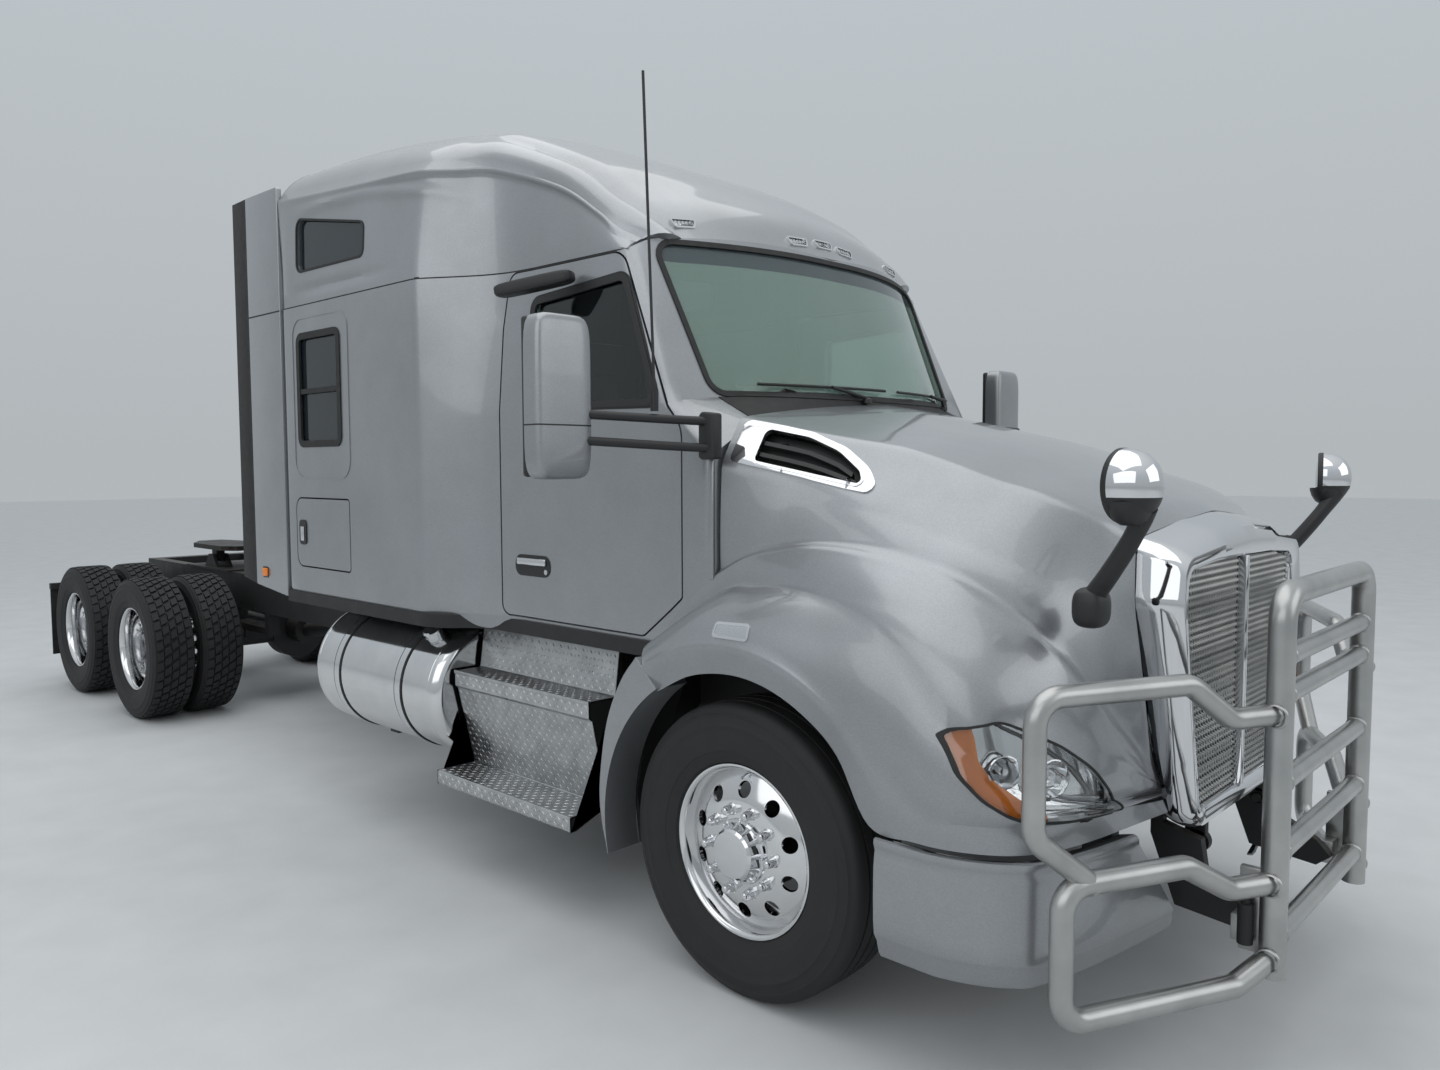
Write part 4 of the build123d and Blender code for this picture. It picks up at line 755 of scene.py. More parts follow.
def grown(outline, step):
    """The closed outline moved outward by step, or inward if it is negative."""
    outline = np.asarray(outline, float)
    ahead, behind = np.roll(outline, -1, axis=0) - outline, outline - np.roll(outline, 1, axis=0)
    area = np.sum(outline[:, 0] * np.roll(outline[:, 1], -1) - np.roll(outline[:, 0], -1) * outline[:, 1])
    turn = 1 if area > 0 else -1

    def out(run):
        run = run / np.maximum(np.linalg.norm(run, axis=1), 1e-9)[:, None]
        return np.stack([run[:, 1], -run[:, 0]], axis=1) * turn
    normal = out(ahead) + out(behind)
    normal /= np.linalg.norm(normal, axis=1)[:, None]
    lean = np.clip(np.sum(normal * out(ahead), axis=1), 0.5, 1)
    return outline + normal * (step / lean)[:, None]

# %% Headlamp and intake openings, and the hood's sheet
LAMP_CORNERS = ((1.217, 1.067), (1.195, 1.088), (1.125, 1.110), (.968, 1.027), (.860, .950), (.792, .872),
                (.750, .806), (.938, .820), (1.077, .835), (1.150, .850), (1.200, .898), (1.221, .960))
lamp_outline = rounded(LAMP_CORNERS, (.02, .02, .05, .3, .3, .2, .018, .5, .3, .1, .1, .1), steps=4)
INTAKE_CORNERS = ((.160, 1.829), (.160, 1.970), (.020, 1.944), (-.100, 1.918), (-.235, 1.868), (-.340, 1.798),
                  (-.405, 1.716), (-.287, 1.736), (-.045, 1.788))
intake_outline = rounded(INTAKE_CORNERS, (.02, .02, .3, .2, .2, .2, .02, .3, .3), steps=4)
LAMP_ZONE_Y, ZONE_X = -0.60, 0.70
HOOD_SHEET = 0.018

hood_sheet = hood_surface
for side in (1, -1):
    hood_sheet = sliced(hood_sheet, lamp_outline * (side, 1), "y", beyond(side, ZONE_X, LAMP_ZONE_Y), "outside")
    hood_sheet = sliced(hood_sheet, intake_outline, "x", beyond(side, ZONE_X), "outside")
hood_shell = thick(hood_sheet, HOOD_SHEET, inner=1)
piece("hood_and_fenders", "hood", [(hood_shell, [silver, plastic])], replaces="hood_shell", crease=24)

# %% [markdown]
# ## The cab and sleeper
# Cab and sleeper are one shell of pressed aluminium. Its plan is narrow at the doors and widens to the full width
# behind them in a soft hollow that ends at an upright edge. Seen from the front it leans in above the belt line.
# The stations are level slices here, from the sill to the seam under the roof, and run straight between them.

# %% The cab's level slices
SEAM_Z = 2.640
CAB_SLICES = (
    ((0, .21, 1.090), (.85, .21, 1.090), (1.020, .222, 1.090), (1.020, 1.52, 1.090), (1.180, 1.88, 1.090),
     (1.180, 3.24, 1.090), (0, 3.24, 1.090)),
    ((0, .20, 1.165), (.87, .20, 1.165), (1.050, .215, 1.165), (1.050, 1.52, 1.165), (1.220, 1.88, 1.165),
     (1.220, 3.24, 1.165), (0, 3.24, 1.165)),
    ((0, .20, 2.040), (.87, .20, 1.960), (1.050, .215, 1.850), (1.050, 1.52, 1.850), (1.220, 1.88, 1.850),
     (1.220, 3.24, 1.850), (0, 3.24, 1.850)),
    ((0, .222, 2.075), (.86, .42, 2.070), (1.050, .44, 2.045), (1.050, 1.52, 2.045), (1.220, 1.88, 2.045),
     (1.220, 3.24, 2.045), (0, 3.24, 2.045)),
    ((0, .502, 2.705), (.885, .695, 2.700), (1.000, .72, 2.640), (1.000, 1.52, 2.640), (1.220, 1.88, 2.640),
     (1.220, 3.24, 2.640), (0, 3.24, 2.640)),
)
CAB_SOFTNESS = [(.03, .05, .26, .035, .06)] * 3 + [(.10, .05, .26, .035, .06), (.14, .05, .26, .035, .06)]
BOW = -0.05
cab_rows = both_halves(skin(CAB_SLICES, CAB_SOFTNESS, (16, 5, 20, 10, 16, 8), steps=8, smooth=False,
                            bulge=(np.array([0, 0, 0, BOW, BOW]), 0, 0, 0, 0, 0)))
cab_surface = welded(sheet(cab_rows))
print("cab skin", cab_rows.shape)

# %% [markdown]
# ## Doors, hatches and windows in the side
# Every door is a panel cut out of the same skin, so it follows the body exactly, with an even black gap round it.
# The cab door's lower front corner is cut off along the fender.

# %% Outlines in the side, as (y, z)
PANEL_GAP = 0.0075
DOOR = rounded(((.371, 1.330), (.371, 1.950), (.452, 2.035), (.738, 2.6375), (1.450, 2.6375), (1.478, 2.400),
                (1.478, 1.168), (.580, 1.168), (.426, 1.285)), (.02, .10, .10, .09, .05, .30, .05, .05, .14), steps=5)
DOOR_WINDOW = rounded(((.500, 2.045), (.715, 2.540), (1.285, 2.500), (1.302, 2.060)), (.03, .05, .04, .05), steps=6)
SLEEPER_WINDOW = rectangle(2.590, 3.050, 1.917, 2.498, .05)
WINDOW_POCKET = rectangle(2.510, 3.100, 1.757, 2.577, .09)
LUGGAGE_DOOR = rectangle(2.530, 3.110, 1.290, 1.650, (.020, .020, .06, .06))
WINDSHIELD = rounded(((-.840, 2.080), (-.893, 2.690), (.893, 2.690), (.840, 2.080)), (.07, .08, .08, .07), steps=6)
CAB_WALL = 0.045


def in_front(c):
    return c.y < 0.9 and abs(c.x) < 1.0


SIDE_ZONE_X = 0.9
cab_sheet = sliced(cab_surface, WINDSHIELD, "y", in_front, "outside")
panels = {}
for side, name in SIDES:
    test = beyond(side, SIDE_ZONE_X)
    panels["door_" + name] = sliced(sliced(cab_surface, grown(DOOR, -PANEL_GAP / 2), "x", test, "inside"),
                                    DOOR_WINDOW, "x", test, "outside")
    panels["luggage_door_" + name] = sliced(cab_surface, grown(LUGGAGE_DOOR, -PANEL_GAP / 2), "x", test, "inside")
    for outline in (grown(DOOR, PANEL_GAP / 2), SLEEPER_WINDOW, grown(LUGGAGE_DOOR, PANEL_GAP / 2)):
        cab_sheet = sliced(cab_sheet, outline, "x", test, "outside")
cab_shell = thick(cab_sheet, CAB_WALL, inner=1)
panels = {key: thick(part, CAB_WALL, inner=1) for key, part in panels.items()}
print({key: len(part.faces) for key, part in panels.items()})

# %% Flat frames and plates that follow the side: gaskets, pressed edges and the cowl
def band_on(surface, outline, inner, outer, lift, where, across="x"):
    """A strip between two sizes of an outline, cut from the skin and lifted off it."""
    strip = sliced(surface, grown(outline, outer), across, where, "inside")
    strip = sliced(strip, grown(outline, inner), across, where, "outside")
    return thick(pushed(strip, lift), 2 * lift)


def plate_on(surface, outline, lift, depth, where, across="x"):
    """A plate of the outline's form, cut from the skin, lifted off it and given thickness inward."""
    return thick(pushed(sliced(surface, outline, across, where, "inside"), lift), depth)


side_gaskets, pockets = [], []
for side in (1, -1):
    test = beyond(side, SIDE_ZONE_X)
    side_gaskets.append(band_on(cab_surface, SLEEPER_WINDOW, -0.030, 0.004, 0.006, test))
    pockets.append(band_on(cab_surface, WINDOW_POCKET, -0.004, 0.004, 0.0035, test))
window_bars = [block(x, x + 0.011, 2.60, 3.04, 2.188, 2.214) for x in (1.212, -1.223)]
windshield_gasket = band_on(cab_surface, WINDSHIELD, -0.015, 0.007, 0.006, in_front, across="y")
COWL = ((-.815, 1.930), (-.815, 2.074), (.815, 2.074), (.815, 1.930))
cowl = plate_on(cab_surface, COWL, 0.003, 0.006, lambda c: c.y < 0.6 and c.z < 2.1, across="y")
cowl_strips = both(eased(block(1.046, 1.058, .208, .232, 1.41, 1.83), 0.004))
piece("cab_and_sleeper_shell", "chassis",
      [(cab_shell, [silver, wall_vinyl]), (*side_gaskets, *window_bars, windshield_gasket, cowl, rubber),
       (*pockets, cowl_strips, silver)],
      replaces=("cab_front", "sleeper_sides", "sleeper_back"), crease=28)

# %% The doors, their handles and the luggage doors
HANDLE_Y, HANDLE_Z = 1.270, 1.392
PADDLE_Y, PADDLE_Z = 3.035, 1.470
for side, name in SIDES:
    test = beyond(side, SIDE_ZONE_X)
    recess = rectangle(HANDLE_Y - .120, HANDLE_Y + .120, HANDLE_Z - .045, HANDLE_Z + .045, .04)
    cup = prism(recess, "x", 1.0495, 1.0535)
    pull = eased(block(1.052, 1.066, HANDLE_Y - .098, HANDLE_Y + .098, HANDLE_Z + .002, HANDLE_Z + .032), 0.006, 3)
    lock = turned_profile(((0, 0), (0.004, 0), (0.004, .011), (0, .011)), "X", 72,
                          (1.053, HANDLE_Y - .095, HANDLE_Z - .022))
    window_gasket = band_on(cab_surface, DOOR_WINDOW, -0.016, 0.012, 0.006, test)
    window_trim = band_on(cab_surface, DOOR_WINDOW, 0.012, 0.020, 0.004, test)
    piece("door_%s_panel" % name, "door_" + name,
          [(panels["door_" + name], [silver, wall_vinyl]), (on_side(cup, side), window_gasket, plastic),
           (window_trim, rubber), (on_side(joined(pull, lock), side), chrome)], replaces="door_" + name, crease=28)
    plate = prism(rectangle(PADDLE_Y - .038, PADDLE_Y + .038, PADDLE_Z - .065, PADDLE_Z + .065, .025), "x",
                  1.218, 1.2255)
    latch = eased(block(1.2255, 1.2300, PADDLE_Y - .018, PADDLE_Y + .018, PADDLE_Z - .045, PADDLE_Z + .030), 0.002)
    piece("luggage_door_%s_panel" % name, "luggage_door_" + name,
          [(panels["luggage_door_" + name], [silver, plastic]), (on_side(plate, side), plastic),
           (on_side(latch, side), chrome)], replaces="luggage_door_" + name, crease=28)

# %% The windshield, with its darker band along the top
TINT_Z, PANE = 2.605, 0.006
pane = pushed(sliced(cab_surface, grown(WINDSHIELD, 0.001), "y", in_front, "inside"), -PANE)
band_box = ((-1.0, TINT_Z), (-1.0, 2.80), (1.0, 2.80), (1.0, TINT_Z))
clear_pane = thick(sliced(pane, band_box, "y", anywhere, "outside"), PANE)
tinted_pane = thick(sliced(pane, band_box, "y", anywhere, "inside"), PANE)
piece("laminated_windshield", "chassis",
      [(clear_pane, windshield_glass_painted_reflection), (tinted_pane, tint_band_glass)], replaces="windshield", crease=40)

# %% [markdown]
# ## The raised roof
# The roof is a fibreglass cap that starts as a narrow brow over the windshield and rises to its full height behind
# the doors. Each station is half an arch: crown, edge, the lip of the cheek, the side under the lip, and the foot.
# The lip stands out above the side, which makes the crisp arch over the door.

# %% Roof stations, from the brow to the back
ROOF_STATIONS = (
    ((0, .500, 2.708), (.700, .635, 2.708), (.930, .715, 2.690), (.945, .718, 2.680), (1.000, .720, 2.646)),
    ((0, .620, 2.860), (.800, .760, 2.838), (.975, .800, 2.735), (.982, .800, 2.715), (1.000, .800, 2.646)),
    ((0, .800, 2.985), (.850, .880, 2.925), (.995, .900, 2.812), (.984, .900, 2.790), (1.000, .900, 2.646)),
    ((0, 1.050, 3.125), (.870, 1.100, 3.085), (1.013, 1.120, 2.942), (.990, 1.120, 2.918), (1.005, 1.120, 2.646)),
    ((0, 1.520, 3.310), (.890, 1.520, 3.268), (1.046, 1.520, 3.082), (1.022, 1.520, 3.058), (1.050, 1.520, 2.646)),
    ((0, 1.710, 3.365), (.905, 1.710, 3.308), (1.122, 1.710, 3.104), (1.098, 1.710, 3.080), (1.135, 1.710, 2.646)),
    ((0, 1.900, 3.410), (.920, 1.900, 3.338), (1.198, 1.900, 3.116), (1.176, 1.900, 3.092), (1.220, 1.900, 2.646)),
    ((0, 2.400, 3.505), (.940, 2.400, 3.396), (1.210, 2.400, 3.148), (1.198, 2.400, 3.124), (1.220, 2.400, 2.646)),
    ((0, 2.850, 3.550), (.950, 2.850, 3.424), (1.212, 2.850, 3.182), (1.209, 2.850, 3.156), (1.220, 2.850, 2.646)),
    ((0, 3.240, 3.572), (.955, 3.240, 3.436), (1.214, 3.240, 3.215), (1.214, 3.240, 3.185), (1.220, 3.240, 2.646)),
)
roof_half = skin(ROOF_STATIONS, [(.06, .02, .014)], (14, 6, 2, 26), steps=7, bulge=(-.018, -.030, 0, -.004))

# A soft ridge under the lip and a long hollow above the seam, pressed into the side behind the door
for row in roof_half:
    for point in row:
        x, y, z = point
        if x > 1.0 and 2.66 < z < 3.16 and y > 1.4:
            ridge = np.interp(y, (1.55, 1.80, 2.31, 2.76, 3.10), (2.955, 3.020, 3.100, 3.118, 3.110))
            fade = np.clip((y - 1.60) / .35, 0, 1) * np.clip((3.12 - y) / .35, 0, 1)
            point[0] += .012 * fade * math.exp(-((z - ridge) / .024) ** 2)
            fade = np.clip((y - 2.05) / .45, 0, 1) * np.clip((3.10 - y) / .25, 0, 1)
            point[0] -= .014 * fade * math.exp(-((z - 2.715) / .020) ** 2)

# The foot follows the seam of the cab, and what is above it leans out to suit
seam = cab_rows[-1][cab_rows.shape[1] // 2:]
side_part = (seam[:, 1] > 0.73) & (seam[:, 0] > 0.5) & (seam[:, 1] < 3.2399)
seam_y, seam_x = seam[side_part][:, 1], seam[side_part][:, 0]
for row in roof_half:
    foot = row[-1].copy()
    shift = np.interp(foot[1], seam_y, seam_x) - foot[0]
    low_part = row[:, 2] < foot[2] + 0.75
    share = np.clip(1 - (row[:, 2] - foot[2]) / 0.55, 0, 1) * (row[:, 0] > 0.9)
    row[:, 0] += shift * share * low_part
roof_rows = both_halves(roof_half)
roof_surface = facing(sheet(roof_rows), (0, 0, 1))
back_cap = Part(roof_rows[-1], [tuple(range(len(roof_rows[-1])))])
print("roof skin", roof_rows.shape)

# %% Cut the upper windows and give the roof its thickness
ROOF_WINDOW = rounded(((2.340, 2.805), (2.340, 2.970), (3.030, 3.090), (3.030, 2.810)), (.04, .04, .05, .05), steps=5)
ROOF_WALL, ROOF_ZONE_X = 0.040, 1.1
roof_sheet, frit = roof_surface, []
for side in (1, -1):
    test = beyond(side, ROOF_ZONE_X)
    roof_sheet = sliced(roof_sheet, ROOF_WINDOW, "x", test, "outside")
    frit.append(band_on(roof_surface, ROOF_WINDOW, -0.008, 0.003, 0.003, test))
roof_shell = thick(roof_sheet, ROOF_WALL, inner=1)
cap_wall = thick(facing_out(back_cap), 0.02)
seam_strip = sheet([[(x * 0.997, y, SEAM_Z + lift) for x, y in zip(seam_x, seam_y)] for lift in (-0.004, 0.010)])
seam_filler = both(shaped(seam_strip, "SOLIDIFY", thickness=0.004, offset=0.0))

# %% Marker lamps on the brow: a chrome rim round a clear ribbed lens
def on_surface(rows, x, y):
    """Place and upward normal of a skin at (x, y), from the plane through its nearest points."""
    grid = rows.reshape(-1, 3)
    near = np.argsort((grid[:, 0] - x) ** 2 + (grid[:, 1] - y) ** 2)[:16]
    design = np.c_[grid[near][:, 0] - x, grid[near][:, 1] - y, np.ones(len(near))]
    gx, gy, z = np.linalg.lstsq(design, grid[near][:, 2], rcond=None)[0]
    return Vector((x, y, z)), Vector((-gx, -gy, 1)).normalized()


def laid(part, place, z):
    """The part, drawn flat at the origin, laid on a surface that has z as its normal."""
    x = (Vector((1, 0, 0)) - z * z.x).normalized()
    turn = np.array([x, z.cross(x), z])
    return Part(part.points @ turn + np.array(place), part.faces, part.marks)


LAMP_PLACES = ((0.0, 0.550), (0.165, 0.558), (-0.165, 0.558), (0.72, 0.692), (-0.72, 0.692))
lamp_rim_outline = rounded(((-.048, -.022), (.048, -.022), (.066, .022), (-.066, .022)), .010)
rims, lenses = [], []
for x, y in LAMP_PLACES:
    place, normal = on_surface(roof_rows, x, y)
    normal = (normal + Vector((0, -0.35, 0))).normalized()
    rim = less(prism(lamp_rim_outline, "z", -0.014, 0.009), prism(grown(lamp_rim_outline, -0.007), "z", 0.001, 0.03))
    rims.append(laid(rim, place, normal))
    lens = [eased(block(-.045 + .018 * i, -.030 + .018 * i, -.012, .012, 0.0, 0.007), 0.002) for i in range(5)]
    lenses.append(laid(joined(*lens), place, normal))
piece("raised_roof", "chassis",
      [(roof_shell, [silver, wall_vinyl]), (cap_wall, silver), (*frit, seam_filler, rubber),
       (*rims, chrome), (*lenses, clear_lens)], replaces="roof_cap", crease=30)

# %% [markdown]
# ## Wheels
# Tyres and rims are turned shapes. The steer tyre has plain ribs, the drive tyres have blocks. The rims are forged
# aluminium with ten hand holes, dished outward on the steer axle and inward on the outer drive wheels. A chrome
# cover sits over each hub, with a cap over every nut. A lathe profile gives all these their section at once, and only
# the blocks, holes and nuts are set out one by one.

# %% Tyre sections: x from the middle plane, radius
WHEEL_Z, TYRE_RADIUS = 0.508, 0.508
STEER_X, OUTER_X, INNER_X = 1.030, 1.071, 0.734
DRIVE_Y = (5.880, 7.200)
SIDEWALL = ((.098, .2885), (.104, .2920), (.112, .3000), (.1235, .3060), (.128, .318), (.1365, .343),
            (.1385, .3445), (.1395, .350), (.1440, .380), (.1452, .402), (.1448, .424), (.1460, .4265),
            (.1460, .431), (.1442, .4335), (.1425, .447), (.1395, .462), (.1406, .4645), (.1400, .4685),
            (.1375, .4705), (.131, .4840), (.1265, .4925))
RIBS = ((.119, .4990), (.110, .5035), (.104, .5052), (.0815, .5062), (.0800, .4925), (.0725, .4925),
        (.0710, .5066), (.0325, .5076), (.0310, .4925), (.0220, .4925), (.0205, .5078))
CARCASS = ((.122, .4930), (.115, .4940), (.060, .4945), (.020, .4945))
TREAD_DEPTH = 0.0138


def tyre(crown):
    """A turned tyre from its sidewall and half of its crown."""
    half = list(SIDEWALL) + list(crown)
    profile = [(-x, r) for x, r in half] + [(x, r) for x, r in reversed(half)]
    return facing_out(turned_profile(profile, "X", 96))


def tread_blocks(rows, pitches):
    """Blocks round the tread. Rows are (x from, x to, share of the pitch, slant, phase)."""
    parts = []
    for x0, x1, share, slant, phase in rows:
        for i in range(pitches):
            middle = (i + phase) * 2 * math.pi / pitches
            half = math.pi / pitches * share
            points = []
            for r in (TYRE_RADIUS - TREAD_DEPTH - 0.002, TYRE_RADIUS - 0.0006):
                draft = 1.0 if r < TYRE_RADIUS - 0.005 else 0.93
                for x, lean in ((x0, -slant), (x1, slant)):
                    edge = 0.004 if abs(x) > 0.1 and draft < 1 else 0.0
                    for turn in (-half * draft, half * draft):
                        angle = middle + turn + lean
                        points.append((x, (r - edge) * math.cos(angle), (r - edge) * math.sin(angle)))
            faces = [(0, 1, 3, 2), (4, 6, 7, 5), (0, 4, 5, 1), (2, 3, 7, 6), (0, 2, 6, 4), (1, 5, 7, 3)]
            parts.append(Part(points, faces))
    return facing_out(joined(*parts))


BLOCK_ROWS = ((-.118, -.078, .80, .010, .0), (-.070, -.028, .72, .020, .5), (-.020, .020, .70, .022, .0),
              (.028, .070, .72, .020, .5), (.078, .118, .80, .010, .0))
steer_tyre = tyre(RIBS)
drive_tyre = joined(tyre(CARCASS), tread_blocks(BLOCK_ROWS, 44))
print("tyres", len(steer_tyre.faces), len(drive_tyre.faces))

# %% The rim barrel and the disc with its hand holes
BARREL = ((-.1160, .2980), (-.1175, .2920), (-.112, .281), (-.100, .2750), (-.050, .2680), (.040, .2680),
          (.088, .2735), (.1040, .2785), (.1130, .2840), (.1165, .2900), (.1160, .2965), (.1120, .2985),
          (.1065, .2975), (.1035, .2905), (.1010, .2870), (-.1010, .2870), (-.1035, .2905), (-.1065, .2975),
          (-.1120, .2985), (-.1160, .2980))
HAND_HOLES, HOLE_R, HOLE_CIRCLE = 10, 0.027, 0.205
NUT_CIRCLE = 0.1425


def wheel_disc(profile):
    """A disc of revolution with hand holes, from its outer face's (x, radius) points."""
    face = turned_profile(profile, "X", 120)
    for i in range(HAND_HOLES):
        angle = 2 * math.pi * (i + 0.5) / HAND_HOLES
        centre = (HOLE_CIRCLE * math.cos(angle), HOLE_CIRCLE * math.sin(angle))
        ring = [(centre[0] + HOLE_R * math.cos(a), centre[1] + HOLE_R * math.sin(a))
                for a in np.linspace(0, 2 * math.pi, 24, endpoint=False)]
        face = sliced(face, ring, "x", anywhere, "outside")
    return shaped(face, "SOLIDIFY", thickness=0.012, offset=-1, use_even_offset=False)


def around(part, count, radius, start=0.0):
    """Copies of a part drawn at the wheel's centre, set out on a circle."""
    lifted = moved(part, z=radius)
    return joined(*[turned(lifted, 360 * i / count + start, "X") for i in range(count)])


barrel = facing_out(turned_profile(BARREL, "X", 120))
STEER_FACE = ((.050, .270), (.056, .262), (.070, .238), (.081, .213), (.0895, .190), (.0940, .174), (.0965, .160),
              (.0985, .100), (.100, .060))
DUAL_FACE = ((-.090, .270), (-.096, .258), (-.112, .232), (-.125, .205), (-.136, .182), (-.141, .168),
             (-.1435, .150), (-.1460, .060))
steer_disc = wheel_disc(STEER_FACE)
dual_disc = wheel_disc(DUAL_FACE)
NUT_CAP = ((0, .0215), (.006, .0215), (.010, .0185), (.036, .0165), (.046, .0125), (.050, .006), (.0505, 0))
HUB_COVER = ((.098, .168), (.104, .166), (.106, .120), (.110, .112), (.118, .108), (.121, .100), (.134, .092),
             (.158, .086), (.166, .078), (.168, .060), (.168, 0))
steer_nuts = around(turned_profile(NUT_CAP, "X", 18, (.1035, 0, 0)), 10, NUT_CIRCLE, 18)
hub_cover = turned_profile(HUB_COVER, "X", 80)
cap_ring = around(facing_out(turned_profile(((0, .007), (.005, .006), (.007, 0)), "X", 10, (.121, 0, 0))),
                  8, 0.101)
STEER_HUB = ((-.040, .062), (-.040, .150), (-.022, .150), (-.020, .100), (.070, .095), (.074, .062), (-.040, .062))
steer_hub = facing_out(turned_profile(STEER_HUB, "X", 48))
DUAL_COVER = ((-.144, .168), (-.138, .166), (-.136, .130), (-.130, .122), (-.070, .112), (-.058, .100),
              (-.0495, .080), (-.0485, 0))
dual_cover = turned_profile(DUAL_COVER, "X", 72)
dual_nuts = around(turned_profile(NUT_CAP, "X", 16, (-.139, 0, 0)), 10, NUT_CIRCLE, 18)
DUAL_HUB = ((-.225, .062), (-.225, .172), (-.160, .172), (-.160, .062), (-.225, .062))
dual_hub = facing_out(turned_profile(DUAL_HUB, "X", 48))
valve = pipe(rounded(((.052, 0, .262), (.085, 0, .258), (.112, 0, .250)), .01, closed=False), .0045, 8)

# %% Put the wheels on their bodies
inner_disc = other_side(dual_disc)
for side, name in SIDES:
    def set_at(part, x, y, side=side):
        return on_side(moved(part, x, y, WHEEL_Z), side)

    piece("steer_tyre_rubber_" + name, "steer_wheel_" + name, [(set_at(steer_tyre, STEER_X, 0), tyre_rubber)],
          replaces="steer_tyre_" + name)
    piece("steer_wheel_metal_" + name, "steer_wheel_" + name,
          [(set_at(joined(barrel, steer_disc), STEER_X, 0), polished),
           (set_at(joined(steer_nuts, hub_cover, cap_ring), STEER_X, 0), chrome),
           (set_at(steer_hub, STEER_X, 0), cast_steel), (set_at(valve, STEER_X, 0), chrome)],
          replaces="steer_rim_" + name, crease=30)
    for end, y in zip(("front", "rear"), DRIVE_Y):
        body = "drive_wheels_%s_%s" % (end, name)
        piece("drive_tyre_rubber_%s_%s" % (end, name), body,
              [(set_at(drive_tyre, OUTER_X, y), set_at(turned(drive_tyre, 3), INNER_X, y), tyre_rubber)],
              replaces="drive_tyres_%s_%s" % (end, name))
        piece("drive_wheel_metal_%s_%s" % (end, name), body,
              [(set_at(barrel, OUTER_X, y), set_at(barrel, INNER_X, y), set_at(dual_disc, OUTER_X, y),
                set_at(inner_disc, INNER_X, y), polished),
               (set_at(dual_cover, OUTER_X, y), set_at(dual_nuts, OUTER_X, y), chrome),
               (set_at(dual_hub, OUTER_X, y), cast_steel)],
              replaces="drive_rims_%s_%s" % (end, name), crease=30)

# %% [markdown]
# ## Headlamps
# A headlamp is a clear shell that carries on the fender's shape, with a thin black gasket round it. Behind the shell
# are a bright reflector, two round lamps and an amber turn signal along the outer edge.

# %% Lamp shells cut from the hood's own skin
def surface_y(part, x, z, limit):
    """Where a skin lies along y at (x, z), from its nearest points ahead of a limit."""
    points = part.points[part.points[:, 1] < limit]
    near = np.argsort((points[:, 0] - x) ** 2 + (points[:, 2] - z) ** 2)[:4]
    return float(points[near, 1].mean())


def skirt(part, shift):
    """A wall from the open edge of a sheet, along a shift."""
    bm = to_bmesh(part)
    bmesh.ops.remove_doubles(bm, verts=bm.verts, dist=1e-5)
    points, faces = [], []
    for edge in bm.edges:
        if len(edge.link_loops) == 1:
            a, b = (np.array(v.co) for v in edge.verts)
            faces.append([len(points) + i for i in range(4)])
            points += [a, b, b + shift, a + shift]
    bm.free()
    return welded(Part(points, faces))


AMBER_STRIP = rounded(((1.178, 1.120), (1.250, 1.120), (1.250, .940), (1.215, .865), (1.140, .815), (1.040, .800),
                       (1.070, .858), (1.122, .896), (1.158, .945), (1.176, 1.000)), .01, steps=3)
BOWLS = ((1.125, .970, .044, 40), (1.000, .940, .052, 24))
lamp_parts = {key: [] for key in ("gasket", "lens", "amber", "reflector", "bowl")}
for side in (1, -1):
    outline, test = lamp_outline * (side, 1), beyond(side, ZONE_X, LAMP_ZONE_Y)
    shift = np.array((-.032 * side, .045, 0))
    patch = sliced(hood_surface, grown(outline, -0.002), "y", test, "inside")
    lamp_parts["gasket"].append(band_on(hood_surface, outline, -0.005, 0.002, 0.003, test, across="y"))
    lamp_parts["lens"].append(plate_on(hood_surface, grown(outline, -0.004), 0.001, 0.003, test, across="y"))
    lamp_parts["reflector"] += [moved(patch, *shift), skirt(patch, shift)]
    amber = sliced(patch, AMBER_STRIP * (side, 1), "y", test, "inside")
    lamp_parts["amber"].append(moved(amber, -.006 * side, .008, 0))
    for x, z, r, aim_out in BOWLS:
        y = surface_y(hood_surface, x, z, LAMP_ZONE_Y) + 0.020
        cup = turned_profile([(0, r), (-.004, r + .004), (-.006, r), (0, r - .004), (.020, r * .8), (.034, r * .45),
                              (.038, .012)], "Y", 40)
        bulb = turned_profile([(.038, .016), (.010, .016), (.002, .011), (0, 0)], "Y", 20)
        for part in (cup, bulb):
            lamp_parts["bowl"].append(on_side(moved(turned(part, aim_out, "Z"), x, y, z), side))
piece("headlamp_units", "hood",
      [(*lamp_parts["gasket"], rubber), (*lamp_parts["lens"], clear_lens),
       (*lamp_parts["reflector"], *lamp_parts["bowl"], chrome), (*lamp_parts["amber"], amber_lens)],
      replaces="headlamps", crease=35)

# %% [markdown]
# ## Air intakes
# The intake sits in the hood's shoulder: a bright frame with a raised lip round a black opening, which two louvres
# cross. Behind the opening the frame widens to a plain plate. All of it is cut from the hood's own skin.

